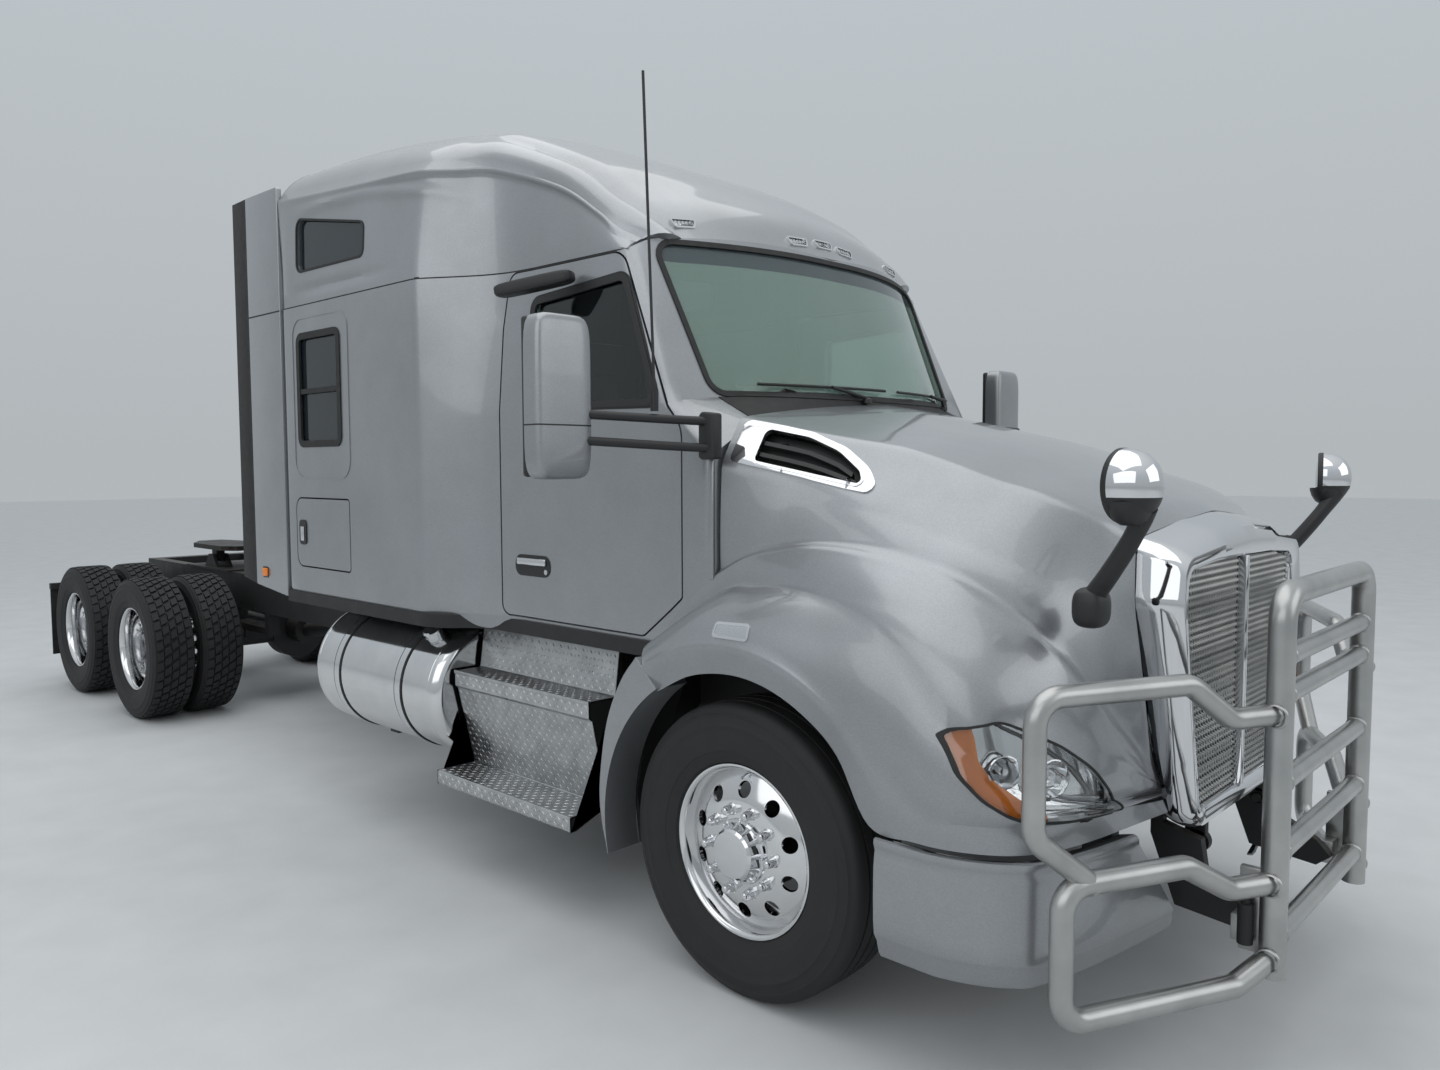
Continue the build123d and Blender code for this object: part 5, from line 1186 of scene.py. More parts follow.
# %% Intake frame, louvres and back
HOLE_TOP = ((-.345, 1.742), (-.315, 1.790), (-.220, 1.856), (-.100, 1.904), (.070, 1.938))
HOLE_FOOT = ((-.345, 1.742), (-.290, 1.752), (-.050, 1.800), (.068, 1.824))
INTAKE_HOLE = rounded(HOLE_FOOT[::-1] + HOLE_TOP[1:], (.02, .3, .2, .02, .05, .2, .2, .02), steps=4)
intake_frames, louvres, intake_backs = [], [], []
for side in (1, -1):
    test = beyond(side, ZONE_X)
    frame_patch = sliced(hood_surface, grown(intake_outline, 0.002), "x", test, "inside")
    opened = sliced(frame_patch, INTAKE_HOLE, "x", test, "outside")
    intake_frames += [thick(pushed(opened, 0.006), 0.012),
                      band_on(hood_surface, INTAKE_HOLE, -0.002, 0.007, 0.009, test)]
    intake_backs.append(plate_on(hood_surface, grown(INTAKE_HOLE, 0.01), -0.040, 0.004, test))
    for share in (0.34, 0.68):
        strip = []
        for y in np.linspace(-.33 + share * .06, .062, 7):
            foot = np.interp(y, *zip(*HOLE_FOOT))
            strip.append((y, foot + (np.interp(y, *zip(*HOLE_TOP)) - foot) * share))
        strip += [(y, z - .013) for y, z in reversed(strip)]
        louvres.append(plate_on(hood_surface, strip, -0.006, 0.022, test))
piece("hood_side_intakes", "hood",
      [(*intake_frames, chrome), (*louvres, *intake_backs, plastic)],
      replaces="hood_intakes", crease=30)

# %% [markdown]
# ## Grille
# The surround is a deep bright frame, widest at its shoulders. Inside it hangs a screen of crimped stainless wires.
# Every wire is a pipe of its own: a picture of a mesh on a flat sheet would show no depth from the side.

# %% Surround, ring by ring from its flange under the hood's edge to the opening
# Half of each ring: centre, half way, corner, shoulder, low on the side and bottom, each as (x, z, y)
SURROUND = (
    ((0, 1.622, -1.085), (.280, 1.602, -1.072), (.545, 1.558, -1.055), (.585, 1.400, -1.070), (.482, .900, -1.100),
     (.445, .705, -1.140)),
    ((0, 1.656, -1.122), (.280, 1.634, -1.106), (.566, 1.586, -1.089), (.605, 1.400, -1.104), (.501, .900, -1.134),
     (.463, .697, -1.176)),
    ((0, 1.641, -1.185), (.280, 1.621, -1.172), (.576, 1.572, -1.150), (.612, 1.400, -1.160), (.506, .900, -1.178),
     (.466, .695, -1.195)),
    ((0, 1.612, -1.231), (.280, 1.594, -1.222), (.578, 1.552, -1.205), (.606, 1.400, -1.212), (.500, .900, -1.222),
     (.460, .696, -1.228)),
    ((0, 1.572, -1.247), (.280, 1.560, -1.244), (.566, 1.532, -1.236), (.588, 1.395, -1.238), (.484, .900, -1.242),
     (.446, .702, -1.244)),
    ((0, 1.535, -1.243), (.280, 1.530, -1.241), (.545, 1.507, -1.237), (.560, 1.385, -1.238), (.452, .900, -1.240),
     (.412, .724, -1.241)),
    ((0, 1.515, -1.228), (.280, 1.511, -1.227), (.532, 1.492, -1.225), (.538, 1.370, -1.225), (.430, .900, -1.226),
     (.392, .738, -1.228)),
    ((0, 1.510, -1.205), (.280, 1.506, -1.205), (.527, 1.487, -1.205), (.532, 1.365, -1.205), (.425, .900, -1.205),
     (.386, .745, -1.205)),
    ((0, 1.510, -1.150), (.280, 1.506, -1.150), (.527, 1.487, -1.150), (.532, 1.365, -1.150), (.425, .900, -1.150),
     (.386, .745, -1.150)),
)
BENDS = (.9, .9, .07, .12, .9, .07)
rows = []
for half in SURROUND:
    whole = [(-x, y, z) for x, z, y in half[:0:-1]] + [(x, y, z) for x, z, y in half]
    rows.append(rounded(whole, list(BENDS[:0:-1]) + list(BENDS), steps=8))
inner = rows[-1][:, [0, 2]]
opening = [(x, z) for x, z, _ in SURROUND[-1]]
rows.append(rows[0])
surround = facing_out(welded(sheet(rows, ring=True)))
centre_bar = eased(block(-.012, .012, -1.236, -1.190, .740, 1.512), 0.005, 3)
arms = []
for x in (-.300, .300):
    arms.append(eased(block(x - .015, x + .015, -1.225, -1.160, .640, .700), 0.004))
    arms.append(facing_out(turned_profile(((-.015, .0215), (-.015, .036), (.015, .036), (.015, .0215),
                                           (-.015, .0215)), "X", 40, (x, -1.2, .620))))
piece("grille_frame", "hood", [(surround, centre_bar, chrome), (*arms, chassis_paint)],
      replaces="grille_surround", crease=35)

# %% The screen: crimped wires across, thin rods down
WIRE_ROWS, CRIMP = 36, 0.022


def half_width(z):
    """Half of the opening's width at a height."""
    return float(np.interp(z, [p[1] for p in opening[:1:-1]], [p[0] for p in opening[:1:-1]]))


def top_at(x):
    """Height of the opening's top edge."""
    return float(np.interp(abs(x), [p[0] for p in opening[:3]], [p[1] for p in opening[:3]]))


wires = []
for row, z in enumerate(np.linspace(0.757, 1.494, WIRE_ROWS)):
    reach = half_width(z) - 0.004 if z < 1.487 else 0.40
    for side in (-1, 1):
        xs = np.arange(0.014, reach, CRIMP / 2)
        crimps = [1 if (k + row) % 2 else -1 for k in range(len(xs))]
        line = [(side * x, -1.203 + 0.004 * t, z + 0.0034 * t) for x, t in zip(xs, crimps)]
        wires.append(pipe(line, 0.0046, 6))
rods = []
for k in range(-23, 24):
    x = k * CRIMP + 0.011
    if abs(x) < 0.525:
        foot = float(np.interp(abs(x), (.386, .425, .532), (.746, .900, 1.365)))
        rods.append(pipe(((x, -1.200, foot), (x, -1.200, top_at(x) - 0.004)), 0.0030, 4))
# A dark sheet just behind the screen fills the opening: painted shade in place of the dark space before the radiator.
painted_shade_sheet = prism(grown(inner, -0.001), "y", -1.1862, -1.1832)
piece("grille_screen", "hood", [(*wires, *rods, brushed), (painted_shade_sheet, plastic)],
      replaces="grille_mesh", crease=40)

# %% [markdown]
# ## Bumper
# The bumper's painted ends wrap round the corners, with a lip along the top and a fold low down. Between them it is
# open for the hood's hinge and the guard's brackets.

# %% Bumper ends swept along the nose
NOSE = ((1.2345, -.605), (1.2345, -.700), (1.2340, -.790), (1.200, -.907), (1.145, -1.000), (1.070, -1.064),
        (.856, -1.126), (.603, -1.170), (.366, -1.203))
# Columns: distance in from the nose line, height
BUMPER_SECTION = ((.060, .712), (.030, .722), (.010, .7275), (.0015, .724), (0, .712), (.0035, .700), (.007, .690),
                  (.004, .672), (.001, .640), (0, .560), (.0015, .480), (.0055, .440), (.012, .428), (.020, .415),
                  (.032, .372), (.042, .358), (.060, .355))
nose_line = curve_through(np.c_[np.array(NOSE), np.zeros(len(NOSE))], 6)[:, :2]
nose_line[:, 0] = np.minimum(nose_line[:, 0], 1.2345)
run = np.gradient(nose_line, axis=0)
run /= np.linalg.norm(run, axis=1)[:, None]
inward = np.stack([run[:, 1], -run[:, 0]], axis=1)
rows = [[(p[0] + n[0] * d, p[1] + n[1] * d, z) for p, n in zip(nose_line, inward)] for d, z in BUMPER_SECTION]
bumper_skin = facing_out(sheet(rows))
NOTCH = ((.710, .760), (.600, .600), (.430, .400), (.400, .300), (.2, .300), (.2, .760))
bumper_end = sliced(bumper_skin, NOTCH, "y", lambda c: c.y < -1.0, "outside")
bumper_end = thick(facing(bumper_end, (1, -1, 0)), 0.006, inner=1)
stays = [block(.430, 1.118, -.990, -.962, .480, .600), block(.432, .490, -1.000, -.900, .480, .860),
         block(.665, .695, -1.130, -.980, .485, .555)]
piece("bumper_ends", "chassis",
      [(both(bumper_end), [silver, plastic]), (both(eased(joined(*stays), 0.004)), chassis_paint)],
      replaces="bumper", crease=30)

# %% [markdown]
# ## Brush guard
# The guard is bent and welded aluminium tube. Two posts and the top rail are one hoop, cross bars are welded between
# the posts, and a pair of loops sweeps back round each corner. It stands on plates pinned to the frame.

# %% Hoop, bars, loops and feet
POST_X, POST_Y = 0.475, -1.470
BAR_HEIGHTS, LOOP_ENDS = (1.262, 1.150, .895, .690, .445), (1.100, .610, .390)
SWEEP = math.atan2(370, 740)
UPPER_LOOP = ((0, 1.100), (.180, 1.100), (.330, 1.210), (.835, 1.210), (.835, .840), (.640, .690))
LOWER_LOOP = ((0, .610), (.170, .612), (.330, .700), (.740, .700), (.740, .325), (.140, .325), (0, .390))


def on_loop(along, z):
    """A place in the loops' plane, from how far it is behind the post and its height."""
    return (POST_X + along * math.cos(SWEEP), POST_Y + along * math.sin(SWEEP), z)


hoop = pipe(rounded(((-POST_X, POST_Y, .332), (-POST_X, POST_Y, 1.442), (POST_X, POST_Y, 1.442),
                     (POST_X, POST_Y, .332)), .085, steps=10, closed=False), .037, 28)
bars = [pipe(((-POST_X, POST_Y, z), (POST_X, POST_Y, z)), .0295, 24) for z in BAR_HEIGHTS]
loops = []
for line, radius in ((UPPER_LOOP, .031), (LOWER_LOOP, .033)):
    path = rounded([on_loop(a, z) for a, z in line], .075, steps=8, closed=False)
    loops.append(both(pipe(path, radius, 24)))
WELD_BEAD = ((-.006, 0), (-.004, .004), (0, .0055), (.004, .004), (.006, 0))


def weld_ring(x, z, radius):
    return both(turned_profile([(a, radius + h) for a, h in WELD_BEAD], "X", 32, (x, POST_Y, z)))


welds = [weld_ring(POST_X - .040, z, .0290) for z in BAR_HEIGHTS]
welds += [weld_ring(POST_X + .041, z, .0300) for z in LOOP_ENDS]
feet = [eased(block(.463, .487, -1.470, -1.380, .390, .640), 0.003),
        eased(block(.395, .463, -1.420, -1.350, .400, .480), 0.004)]
latch = facing_out(turned_profile(((-.10, 0), (-.10, .022), (.02, .022), (.02, .014), (.09, .014), (.09, 0)),
                                  "Z", 24, (.508, -1.405, .520)))
BOLT_HEAD = ((0, .016), (.012, .016), (.014, .012), (.014, 0))
bolts = [facing_out(turned_profile(BOLT_HEAD, "X", 6, (.487, -1.410, z))) for z in (.440, .580)]
piece("brush_guard_tubes", "guard",
      [(hoop, *bars, *loops, *welds, both(joined(*feet)), brushed),
       (both(joined(latch, *bolts)), chassis_paint)], replaces="guard_frame", crease=35)

# %% [markdown]
# ## Steps in tread plate
# The steps are folded from aluminium tread plate: two treads, the risers between them and a folded edge below. Its
# raised lozenges are real geometry here, because their edges catch the light even from some metres away. They stand
# at right angles to each other in rows 25 mm apart. The deck plate behind the sleeper is of the same sheet.

# %% Folded plate along its section, and the lozenges on every flat
STEP_FRONT, STEP_REAR = 0.850, 1.810
STEP_SECTION = ((1.165, .376), (1.199, .376), (1.199, .439), (1.004, .439), (1.084, .799), (1.099, .811),
                (1.099, .879), (.962, .879), (.934, 1.088), (.900, 1.088))
PLATE_T, PITCH = 0.004, 0.025
LOZENGE = ((-.0105, 0, 0), (0, -.0032, 0), (.0105, 0, 0), (0, .0032, 0), (-.0055, 0, .0015), (.0055, 0, .0015))
LOZENGE_FACES = ((0, 1, 4), (1, 5, 4), (1, 2, 5), (2, 3, 5), (3, 4, 5), (3, 0, 4))


def lozenges(corner, along, up, length, height, out):
    """Raised lozenges over a flat rectangle."""
    corner, along, up, out = (np.array(v, float) for v in (corner, along, up, out))
    points, faces = [], []
    columns, rows = int(length / PITCH), int(height / PITCH)
    for i in range(columns):
        for j in range(rows):
            u = (i + 0.5) * length / columns
            v = (j + 0.5) * height / rows
            lean = math.radians(45 if (i + j) % 2 else -45)
            a, b = math.cos(lean), math.sin(lean)
            middle = corner + along * u + up * v
            faces += [tuple(len(points) + k for k in face) for face in LOZENGE_FACES]
            for du, dv, h in LOZENGE:
                points.append(middle + along * (a * du - b * dv) + up * (b * du + a * dv) + out * h)
    return Part(points, faces)


section = rounded(STEP_SECTION, (0, .008, .008, .006, .006, .006, .008, .010, .006, 0), steps=3, closed=False)
plate_rows = [[(x, y, z) for x, z in section] for y in np.linspace(STEP_FRONT, STEP_REAR, 9)]
plate = sheet(plate_rows)
plate = thick(Part(plate.points, [face[::-1] for face in plate.faces]), PLATE_T)
bumps = []
for (x0, z0), (x1, z1) in zip(STEP_SECTION[1:-1], STEP_SECTION[2:]):
    run = np.array([x1 - x0, 0, z1 - z0])
    height = float(np.linalg.norm(run))
    if height < 0.03:
        continue
    up = run / height
    out = np.cross((0, 1, 0), up)
    out = out if out[0] + out[2] > 0 else -out
    corner = np.array([x0, STEP_FRONT + .01, z0]) + up * 0.006 + out * 0.0002
    bumps.append(lozenges(corner, (0, 1, 0), up, STEP_REAR - STEP_FRONT - .02, height - .012, out))
end_outline = list(STEP_SECTION[1:9]) + [(.905, .850), (.985, .840), (.955, .460), (1.165, .380)]
ends = [prism(end_outline, "y", y, y + .004) for y in (STEP_FRONT, STEP_REAR - .004)]
hangers = [prism(((.430, .760), (.430, .960), (.895, 1.000), (.905, .836), (1.035, .836), (.965, .425), (.900, .425)),
                 "y", y, y + .012) for y in (STEP_FRONT + .04, STEP_REAR - .06)]
trim_strip = eased(block(1.094, 1.104, STEP_FRONT, STEP_REAR, .868, .8825), 0.002)

tread_plate, tree, surface, place = new_material("aluminium_tread_plate", Metallic=0.95)
wear = add(tree, "TexNoise", Vector=place, Scale=14.0, Detail=6.0)
feed(surface, Base_Color=add(tree, "ValToRGB", Fac=wear, stops=((0.3, "#A9ABAC"), (0.7, "#C3C4C5"))),
     Roughness=add(tree, "MapRange", Value=wear, To_Min=0.2, To_Max=0.42))
piece("tread_plate_steps", "chassis",
      [(both(joined(plate, *bumps, trim_strip)), tread_plate), (both(joined(*ends, *hangers)), chassis_paint)],
      replaces="steps", crease=25)

# %% The deck plate behind the sleeper, of the same sheet
def node_box(node):
    """A CAD node's lowest and highest corner, measured from the steer axle."""
    return [np.array(corner) - (0, AXLE_Y, 0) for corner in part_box(node)]


deck_low, deck_high = node_box("deck_plate")
deck_top = deck_high[2] - .0017
deck = eased(block(deck_low[0], deck_high[0], deck_low[1], deck_high[1], deck_low[2], deck_top), .0015, 2)
deck_size = deck_high - deck_low - .024
deck_bumps = lozenges((deck_low[0] + .012, deck_low[1] + .012, deck_top + .0001), (1, 0, 0), (0, 1, 0), deck_size[0],
                      deck_size[1], (0, 0, 1))
piece("tread_plate_deck", "chassis", [(deck, deck_bumps, tread_plate)], replaces="deck_plate",
      crease=25)

# %% [markdown]
# ## Fuel tanks
# The tanks are rolled and welded aluminium, polished to a mirror. Two stainless straps with rubber under them hold
# each tank, and a black board lies along the top between the tank and the cab. One lathe profile holds the shell, its
# rolled ends and the seams.

# %% Tanks, straps and caps
TANK_X, TANK_Z, TANK_R = 0.885, 0.750, 0.311
TANK_Y = (1.830, 3.020)
half = (TANK_Y[1] - TANK_Y[0]) / 2
middle_y = sum(TANK_Y) / 2
shell = [(-half + .055 * (1 - math.cos(a)), TANK_R - .055 * (1 - math.sin(a))) for a in np.radians(range(0, 91, 10))]
head = [(-half, 0), (-half + .001, .10), (-half + .001, TANK_R - .075), (-half, TANK_R - .058)]
profile = head + shell + [(-half + .060, TANK_R), (-half + .062, TANK_R - .0015), (-half + .066, TANK_R - .0015),
                          (-half + .068, TANK_R)]
profile += [(-a, r) for a, r in reversed(profile)]
tank = turned_profile(profile, "Y", 96, (TANK_X, middle_y, TANK_Z))


def tank_band(y, half_width, low, high):
    """A band round the tank, between two heights over its shell."""
    profile = [(-half_width, low), (-half_width, high), (half_width, high), (half_width, low)]
    return turned_profile([(a, TANK_R + h) for a, h in profile], "Y", 72, (TANK_X, y, TANK_Z))


straps, liners = [], []
for y in (2.150, 2.750):
    liners.append(tank_band(y, .034, 0, .0035))
    straps.append(tank_band(y, .024, .003, .006))
    straps.append(facing_out(pipe(((TANK_X + .02, y, TANK_Z + TANK_R + .016),
                                   (TANK_X + .11, y, TANK_Z + TANK_R + .004)), .008, 12)))
cap = turned_profile([(-.02, .050), (.012, .050), (.014, .056), (.040, .056), (.046, .048), (.047, 0)],
                     "Z", 36)
cap = moved(turned(cap, 32, "Y"), TANK_X + .165, 2.03, TANK_Z + .264)
board = eased(block(.700, 1.000, 1.835, 3.010, 1.066, 1.0805), 0.003)
piece("polished_fuel_tanks", "chassis",
      [(both(tank), polished), (both(joined(*straps, cap)), chrome), (both(joined(*liners)), rubber),
       (both(board), plastic)], replaces="fuel_tanks", crease=30)

# %% [markdown]
# ## Quarter panels, side extenders and marker lamps
# A fixed panel closes the wheel arch behind the front wheel. At the back of the sleeper a fairing reaches towards
# the trailer, in painted sheet and then a flap of black rubber. Both are flat outlines given thickness, with their
# edges eased.

# %% Quarter panels
ARCH_R = 0.616
arch = [(ARCH_R * math.cos(a), WHEEL_Z + ARCH_R * math.sin(a)) for a in np.radians(np.linspace(57.5, -13.2, 26))]
outer_line = curve_through(((.602, .366), (.640, .520), (.640, .660), (.598, .870), (.520, 1.030), (.437, 1.128)), 5)
quarter = eased(prism([p for p in arch if p[1] > 0.366] + list(outer_line), "x", 1.066, 1.2225), 0.012, 4, 50)
inner_board = prism(((.440, 1.085), (.618, 1.085), (.638, .634), (.602, .370), (.570, .370), (.612, .560),
                     (.560, .80)), "x", .932, 1.062)
piece("quarter_arch_panels", "chassis", [(both(quarter), silver), (both(inner_board), plastic)],
      replaces="quarter_panels", crease=35)

# %% Side extenders with rubber flaps, and the amber lamps low on them
EXT = ((3.2465, 1.112), (3.2465, 3.290), (3.640, 3.295), (3.640, 1.152))
extender = eased(prism(rounded(EXT, .012, steps=3), "x", 1.190, 1.2195), 0.004, 3, 50)
groove = block(1.2188, 1.2198, 3.248, 3.640, SEAM_Z - .003, SEAM_Z + .005)
FLAP = ((3.638, 1.152), (3.638, 3.293), (3.815, 3.290), (3.815, 1.182))
flap = eased(prism(FLAP, "x", 1.2035, 1.2190), 0.003, 2, 50)
rib = eased(block(1.206, 1.2197, 3.638, 3.654, 1.155, 3.290), .002)
struts = [facing_out(pipe(((1.196, 3.60, z), (1.19, 3.25, z - .05)), .012, 12)) for z in (1.45, 2.3, 3.0)]
lamp_base = eased(prism(rectangle(3.478, 3.556, 1.196, 1.258, .012), "x", 1.218, 1.2205), .001)
lamp_face = eased(prism(rectangle(3.486, 3.548, 1.204, 1.250, .010), "x", 1.219, 1.2285), .003)
piece("side_fairings", "chassis",
      [(both(extender), silver), (both(joined(flap, rib, groove)), rubber),
       (both(joined(*struts, lamp_base)), plastic), (both(lamp_face), amber_lens)],
      replaces="side_extenders", crease=35)

# %% Clear marker lamp on each fender
bezel_outline = rounded(((-.100, 1.243), (-.097, 1.299), (.058, 1.292), (.062, 1.242)), .014)
marker_rims, marker_lenses, marker_backs = [], [], []
for side in (1, -1):
    test = beyond(side, 1.0)
    marker_rims.append(band_on(hood_surface, bezel_outline, -.009, 0, .004, test))
    marker_lenses.append(plate_on(hood_surface, grown(bezel_outline, -.008), .003, .005, test))
    marker_backs.append(plate_on(hood_surface, grown(bezel_outline, -.006), .0022, .0016, test))
piece("fender_marker_lamps", "hood",
      [(*marker_rims, *marker_backs, chrome), (*marker_lenses, clear_lens)])

# %% [markdown]
# ## Mirrors
# The door mirrors are tall housings on twin black arms that reach out from the cowl. The fender mirrors are small
# chrome domes on bent black arms. A block pulled towards a round form makes a moulded housing with fewer steps than
# a bevel, and its sides stay slightly full.

# %% Door mirror heads, arms and bracket
def soft_block(x0, x1, y0, y1, z0, z1, power=4.0, steps=10):
    """A block with generously rounded sides: a subdivided box pulled towards a superellipsoid."""
    low, high = np.array([x0, y0, z0]), np.array([x1, y1, z1])
    centre, half_size = (low + high) / 2, (high - low) / 2
    parts = []
    grid = np.sin(np.linspace(-math.pi / 2, math.pi / 2, steps + 1))
    for axis in range(3):
        for sign in (-1, 1):
            rows = []
            for a in grid:
                row = []
                for b in grid:
                    p = np.zeros(3)
                    p[axis], p[(axis + 1) % 3], p[(axis + 2) % 3] = sign, a, b
                    p /= (np.abs(p) ** power).sum() ** (1 / power)
                    row.append(centre + p * half_size)
                rows.append(row)
            parts.append(sheet(rows))
    return facing_out(welded(joined(*parts), 1e-4))


HEAD = (1.397, 1.628, .442, .558, 1.767, 2.318)
head = soft_block(*HEAD, power=7.0, steps=14)
head_front = sliced(head, ((1.2, 1.5), (1.2, 2.6), (1.8, 2.6), (1.8, 1.5)), "y", lambda c: c.y < .527, "inside")
glass_bezel = eased(block(1.405, 1.620, .523, .552, 1.776, 2.309), .012, 3)
mirror_pane = eased(block(1.417, 1.608, .550, .5535, 1.955, 2.297), .002)
wide_pane = eased(block(1.417, 1.608, .550, .5535, 1.788, 1.940), .002)
SPLIT = ((1.2, 1.9460), (1.2, 1.9510), (1.8, 1.9510), (1.8, 1.9460))
split_line = plate_on(head, SPLIT, .0006, .002, lambda c: c.y < .527, across="y")
ARM_LINES = (((1.075, .190, 1.872), (1.20, .28, 1.880), (1.450, .480, 1.900)),
             ((1.075, .200, 1.965), (1.20, .29, 1.972), (1.450, .490, 1.990)))
arms = [pipe(rounded(line, .1, closed=False), .0155, 16) for line in ARM_LINES]
bracket = eased(prism(((.165, 1.835), (.165, 1.992), (.225, 2.000), (.240, 1.985), (.240, 1.840), (.225, 1.832)),
                      "x", 1.052, 1.100), .008, 3)
elbow = eased(block(1.405, 1.470, .470, .515, 1.865, 2.020), .012, 3)
piece("door_mirror_pair", "chassis",
      [(both(head_front), silver), (both(joined(glass_bezel, *arms, bracket, elbow, split_line)), plastic),
       (both(joined(mirror_pane, wide_pane)), chrome)], replaces="door_mirrors", crease=35)

# %% Fender mirrors
FOOT, DOME = (.864, -1.082, 1.410), (.970, -1.230, 1.756)
dome_shell = turned_profile(((.030, .0885), (.020, .0885), (-.010, .086), (-.040, .077), (-.064, .060), (-.080, .036),
                             (-.086, .012), (-.0865, 0)), "Y", 48)
dome_ring = facing_out(turned_profile(((.020, .0850), (.020, .0890), (.034, .0893), (.040, .086), (.040, .080),
                                       (.034, .0795)), "Y", 48))
dome_glass = turned_profile(((.034, .081), (.044, .055), (.048, .028), (.0495, 0)), "Y", 40)
for part in (dome_shell, dome_ring, dome_glass):
    part.points *= (.93, .93, 1.12)
dome_shell, dome_ring, dome_glass = (moved(turned(part, 14, "Z"), *DOME)
                                     for part in (dome_shell, dome_ring, dome_glass))
arm_line = curve_through((FOOT, (.872, -1.100, 1.455), (.893, -1.140, 1.505), (.915, -1.200, 1.590),
                          (.935, -1.240, 1.655), (.955, -1.262, 1.700)), 5)
arm_radius = np.interp(np.linspace(0, 1, len(arm_line)), (0, .25, .7, 1), (.038, .029, .026, .032))
fender_arm = pipe(arm_line, arm_radius, 16)
fender_foot = soft_block(FOOT[0] - .052, FOOT[0] + .052, FOOT[1] - .048, FOOT[1] + .048, 1.352, 1.468, 3.0, 10)
below = ((.5, 1.4), (.5, DOME[2] - .030), (1.4, DOME[2] - .030), (1.4, 1.4))
dome_top = sliced(dome_shell, below, "y", anywhere, "outside")
dome_foot = sliced(dome_shell, below, "y", anywhere, "inside")
cup = turned_profile(((-.105, 0), (-.104, .030), (-.092, .052), (-.070, .068), (-.048, .076), (-.040, .076)),
                     "Z", 40)
cup.points[:, 1] *= .82
piece("fender_mirror_pair", "hood",
      [(both(joined(dome_top, dome_glass)), chrome),
       (both(joined(dome_foot, dome_ring, fender_arm, fender_foot, facing_out(moved(cup, *DOME)))), plastic)],
      replaces="fender_mirrors", crease=40)

# %% Wipers, lying along the foot of the windshield
def glass_y(x, z):
    """Where the windshield lies along y."""
    return .222 + .2 * (x / .85) ** 2 + (z - 2.075) * .444


wipers = []
for pivot, tip, heel in ((.60, .12, .80), (-.14, -.66, .02)):
    blade = [(x, glass_y(x, 2.125) - .016, 2.125) for x in np.linspace(heel, tip, 9)]
    wipers.append(pipe(blade, .0060, 8))
    mid = (heel + tip) / 2
    wipers.append(pipe(((pivot, glass_y(pivot, 2.09) - .030, 2.086), (mid + (pivot - mid) * .5,
                        glass_y(mid, 2.11) - .034, 2.108), (mid, glass_y(mid, 2.125) - .024, 2.125)), .0075, 8))
    wipers.append(facing_out(turned_profile(((0, 0), (0, .020), (.016, .018), (.022, .009), (.022, 0)),
                                            "Z", 20, (pivot, glass_y(pivot, 2.09) - .030, 2.066))))
piece("windshield_wipers", "chassis", [(*wipers, plastic)])

# %% The small look-down mirror on top of the right door
look_down = soft_block(-.170, .170, -.045, .045, -.027, .027, 5.0, 8)
look_down = other_side(moved(turned(turned(look_down, 9, "Y"), 61, "Z"), 1.130, 1.125, 2.540))
piece("look_down_mirror", "door_right", [(look_down, plastic)])

# %% [markdown]
# ## Parts that keep their CAD form
# Frame, axles, engine and the panes have the right shape already. They keep it and get the materials of the real
# parts, one table for all.

# %% A material for each carried-over node
node_finishes = (
    (chassis_paint, ("chassis_frame", "steer_axle", "knuckle_right", "knuckle_left", "tie_rod", "drive_axles",
                     "tandem_suspension", "fifth_wheel_base", "cab_floor", "radiator")),
    (cast_steel, ("fifth_wheel_plate", "engine_block")), (rubber, ("mud_flaps",)), (plastic, ("antenna",)),
    (door_glass, ("door_glass_right", "door_glass_left")), (privacy_glass, ("sleeper_glass",)),
)
for finish, nodes in node_finishes:
    for node in nodes:
        materials = bpy.data.objects[node].data.materials
        materials.clear()
        materials.append(finish)
print("carried-over nodes with a finish:", sum(len(nodes) for _, nodes in node_finishes))

# %% [markdown]
# ## Seats and bunk
# Inside are two air-sprung seats and a mattress across the sleeper. A cushion swells where nothing holds it: its top
# is crowned, its sides pull in between the corners, and stitching draws channels into the cover. Each one is drawn
# with these three effects on a rounded block. Nobody sits close to them here, so no cloth is simulated.

# %% One padded form
def cushion(width, length, height, crown=0.25, pinch=0.05, channels=()):
    """A padded block round the origin. channels are shares of the half width at which the cover is sewn down."""
    part = soft_block(-1, 1, -1, 1, -1, 1, power=5.0, steps=18)
    u, v, w = part.points.T
    sewn = sum(0.16 * np.exp(-((u - c) / 0.05) ** 2) for c in channels)
    crowned = w * (1 - crown) + np.maximum(w, 0) * (crown * (1 - u * u) * (1 - v * v) - sewn)
    return Part(np.stack([u * (1 - pinch * (1 - v * v) * (1 - abs(w))) * width / 2,
                          v * (1 - pinch * (1 - u * u) * (1 - abs(w))) * length / 2,
                          crowned * height / 2], axis=1), part.faces)

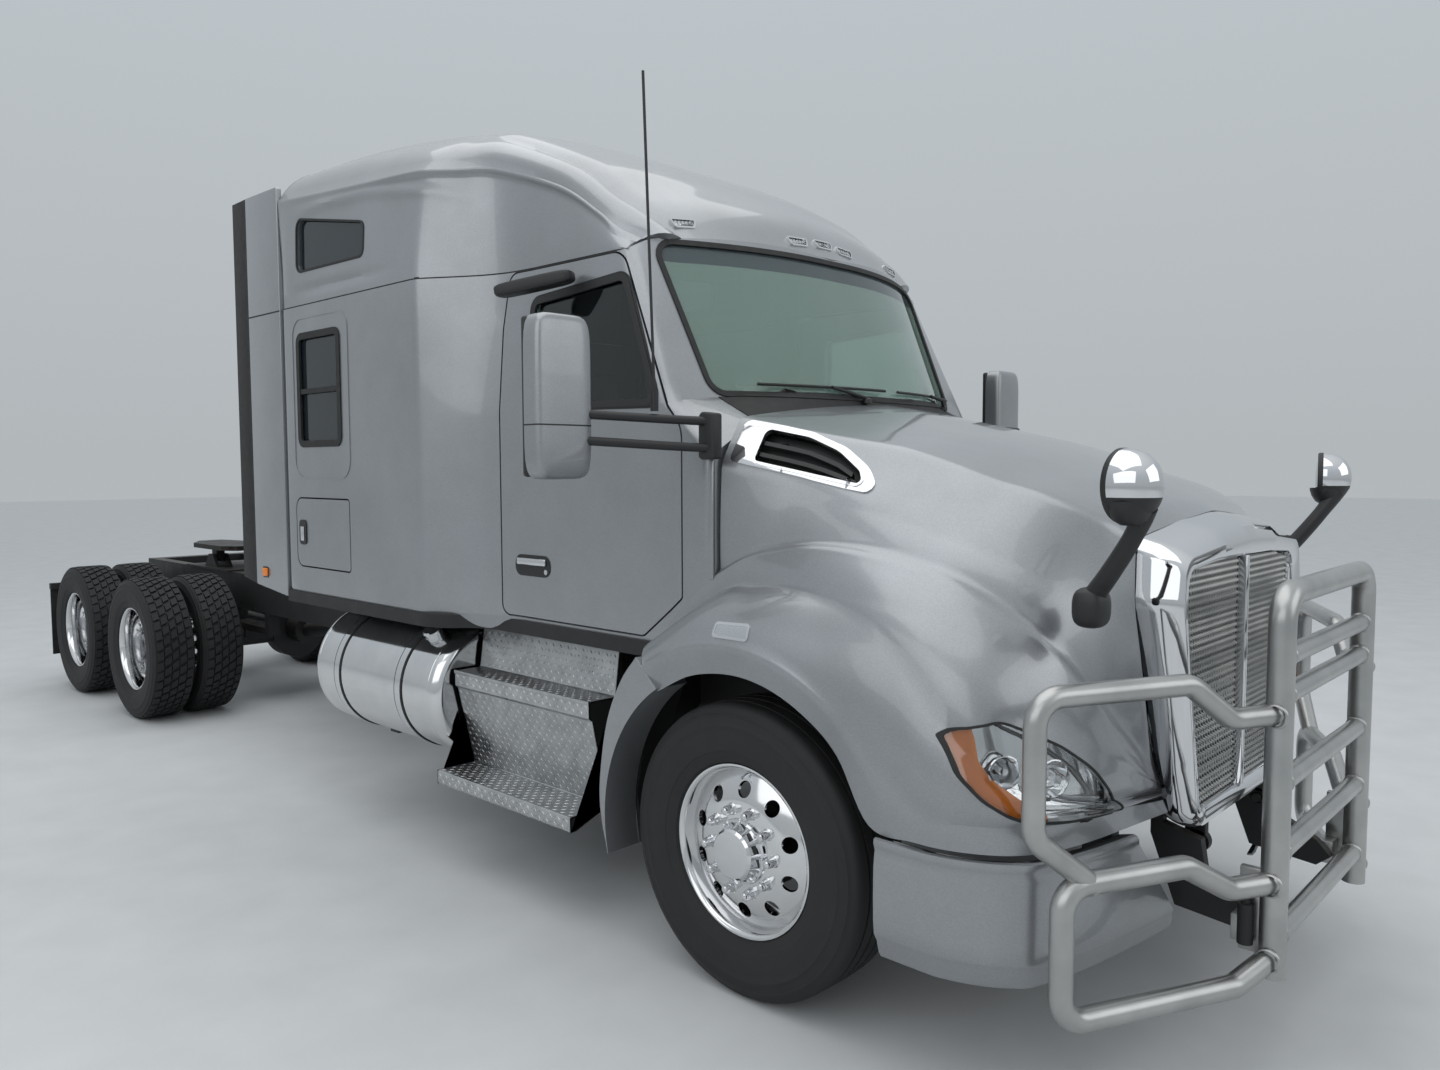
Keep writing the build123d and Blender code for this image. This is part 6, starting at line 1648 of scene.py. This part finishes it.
# %% Seats, one piece for each cushion
SEAT_X, LEAN = 0.520, 9.5
BELLOWS_FOLDS, BELLOWS_TOP = 5, 1.400
for side, name in SIDES:
    seat = moved(cushion(.520, .530, .150, channels=(-.42, .42)), SEAT_X * side, 1.165, 1.492)
    back = turned(cushion(.490, .470, .120, channels=(-.40, .40)), 90 - LEAN, "X")
    back = moved(back, SEAT_X * side, 1.425, 1.800)
    rest = moved(turned(cushion(.270, .170, .095), 90 - LEAN, "X"), SEAT_X * side, 1.478, 2.150)
    for pad, part in (("seat_cushion_", seat), ("seat_back_", back), ("headrest_", rest)):
        piece(pad + name, "chassis", [(part, seat_cloth)], replaces="seats", crease=50)
seat_foot = float(node_box("seats")[0][2])
fold = (BELLOWS_TOP - seat_foot) / BELLOWS_FOLDS
frames = []
for x in (SEAT_X, -SEAT_X):
    for k in range(BELLOWS_FOLDS):
        low, tuck = seat_foot + .004 + k * fold, .006 * (k % 2)
        frames.append(eased(block(x - .150 + tuck, x + .150 - tuck, 1.000 + tuck, 1.350 - tuck, low,
                                  low + fold - .004), .012, 2))
    frames.append(eased(block(x - .200, x + .200, .960, 1.390, 1.398, 1.424), .008, 2))
    frames += [pipe(((x + off, 1.462, 2.020), (x + off, 1.476, 2.120)), .007, 10) for off in (-.06, .06)]
    frames.append(eased(block(x - .225, x + .225, 1.412, 1.440, 1.500, 1.585), .008, 2))
piece("seat_pedestals", "chassis", [(*frames, plastic)], replaces="seats", crease=40)

# %% The bunk's mattress
low, high = node_box("bunk")
size, centre = high - low, (high + low) / 2
mattress = moved(cushion(*size, crown=.18, pinch=.012, channels=(-.6, -.2, .2, .6)), *centre)
piece("bunk_mattress", "chassis", [(mattress, seat_cloth)], replaces="bunk", crease=50)

# %% [markdown]
# ## Dashboard and steering wheel
# The dashboard is one moulding from wall to wall. Its front follows the curve of the windshield's foot, so that no
# corner reaches through the shell. The wheel has a round grip, a hub with a soft pad and three spokes.

# %% The moulding, section by section across the cab, and the wheel at its slant
DASH_SECTION = ((.272, 1.500), (.272, 1.925), (.420, 1.968), (.640, 1.900), (.690, 1.560), (.560, 1.480))
DASH_HALF = 0.925
dash_rows = []
for x in np.linspace(-DASH_HALF, DASH_HALF, 25):
    sweep_back = 0.22 * (x / 0.85) ** 2
    outline = [[x, y + sweep_back * (0.690 - y) / 0.418, z] for y, z in DASH_SECTION]
    outline[2][2] += 0.022 * math.exp(-((x - SEAT_X) / 0.22) ** 4)
    dash_rows.append(rounded(outline, (.03, .05, .12, .05, .05, .04), steps=4))
dash = facing_out(welded(sheet(dash_rows, ring=True, capped=True)))
WHEEL_PLACE, WHEEL_SLANT = (SEAT_X, .780, 1.785), 25.5
grip = [(.016 * math.cos(a), .225 + .016 * math.sin(a)) for a in np.linspace(0, 2 * math.pi, 17)]
wheel = [facing_out(turned_profile(grip, "Y", 64)),
         facing_out(turned_profile(((-.028, 0), (-.028, .050), (.010, .066), (.024, .060), (.030, .035), (.031, 0)),
                                   "Y", 40))]
for angle in (0, 90, 180):
    spoke = eased(block(.045, .222, -.006, .010, -.017, .017), .005, 3)
    wheel.append(turned(spoke, angle, "Y"))
wheel = moved(turned(joined(*wheel), WHEEL_SLANT, "X"), *WHEEL_PLACE)
column = facing_out(pipe(((SEAT_X, .560, 1.680), (SEAT_X, .762, 1.776)), .035, 24))
piece("dashboard_moulding", "chassis", [(dash, dash_skin), (wheel, column, plastic)],
      replaces="dashboard", crease=40)
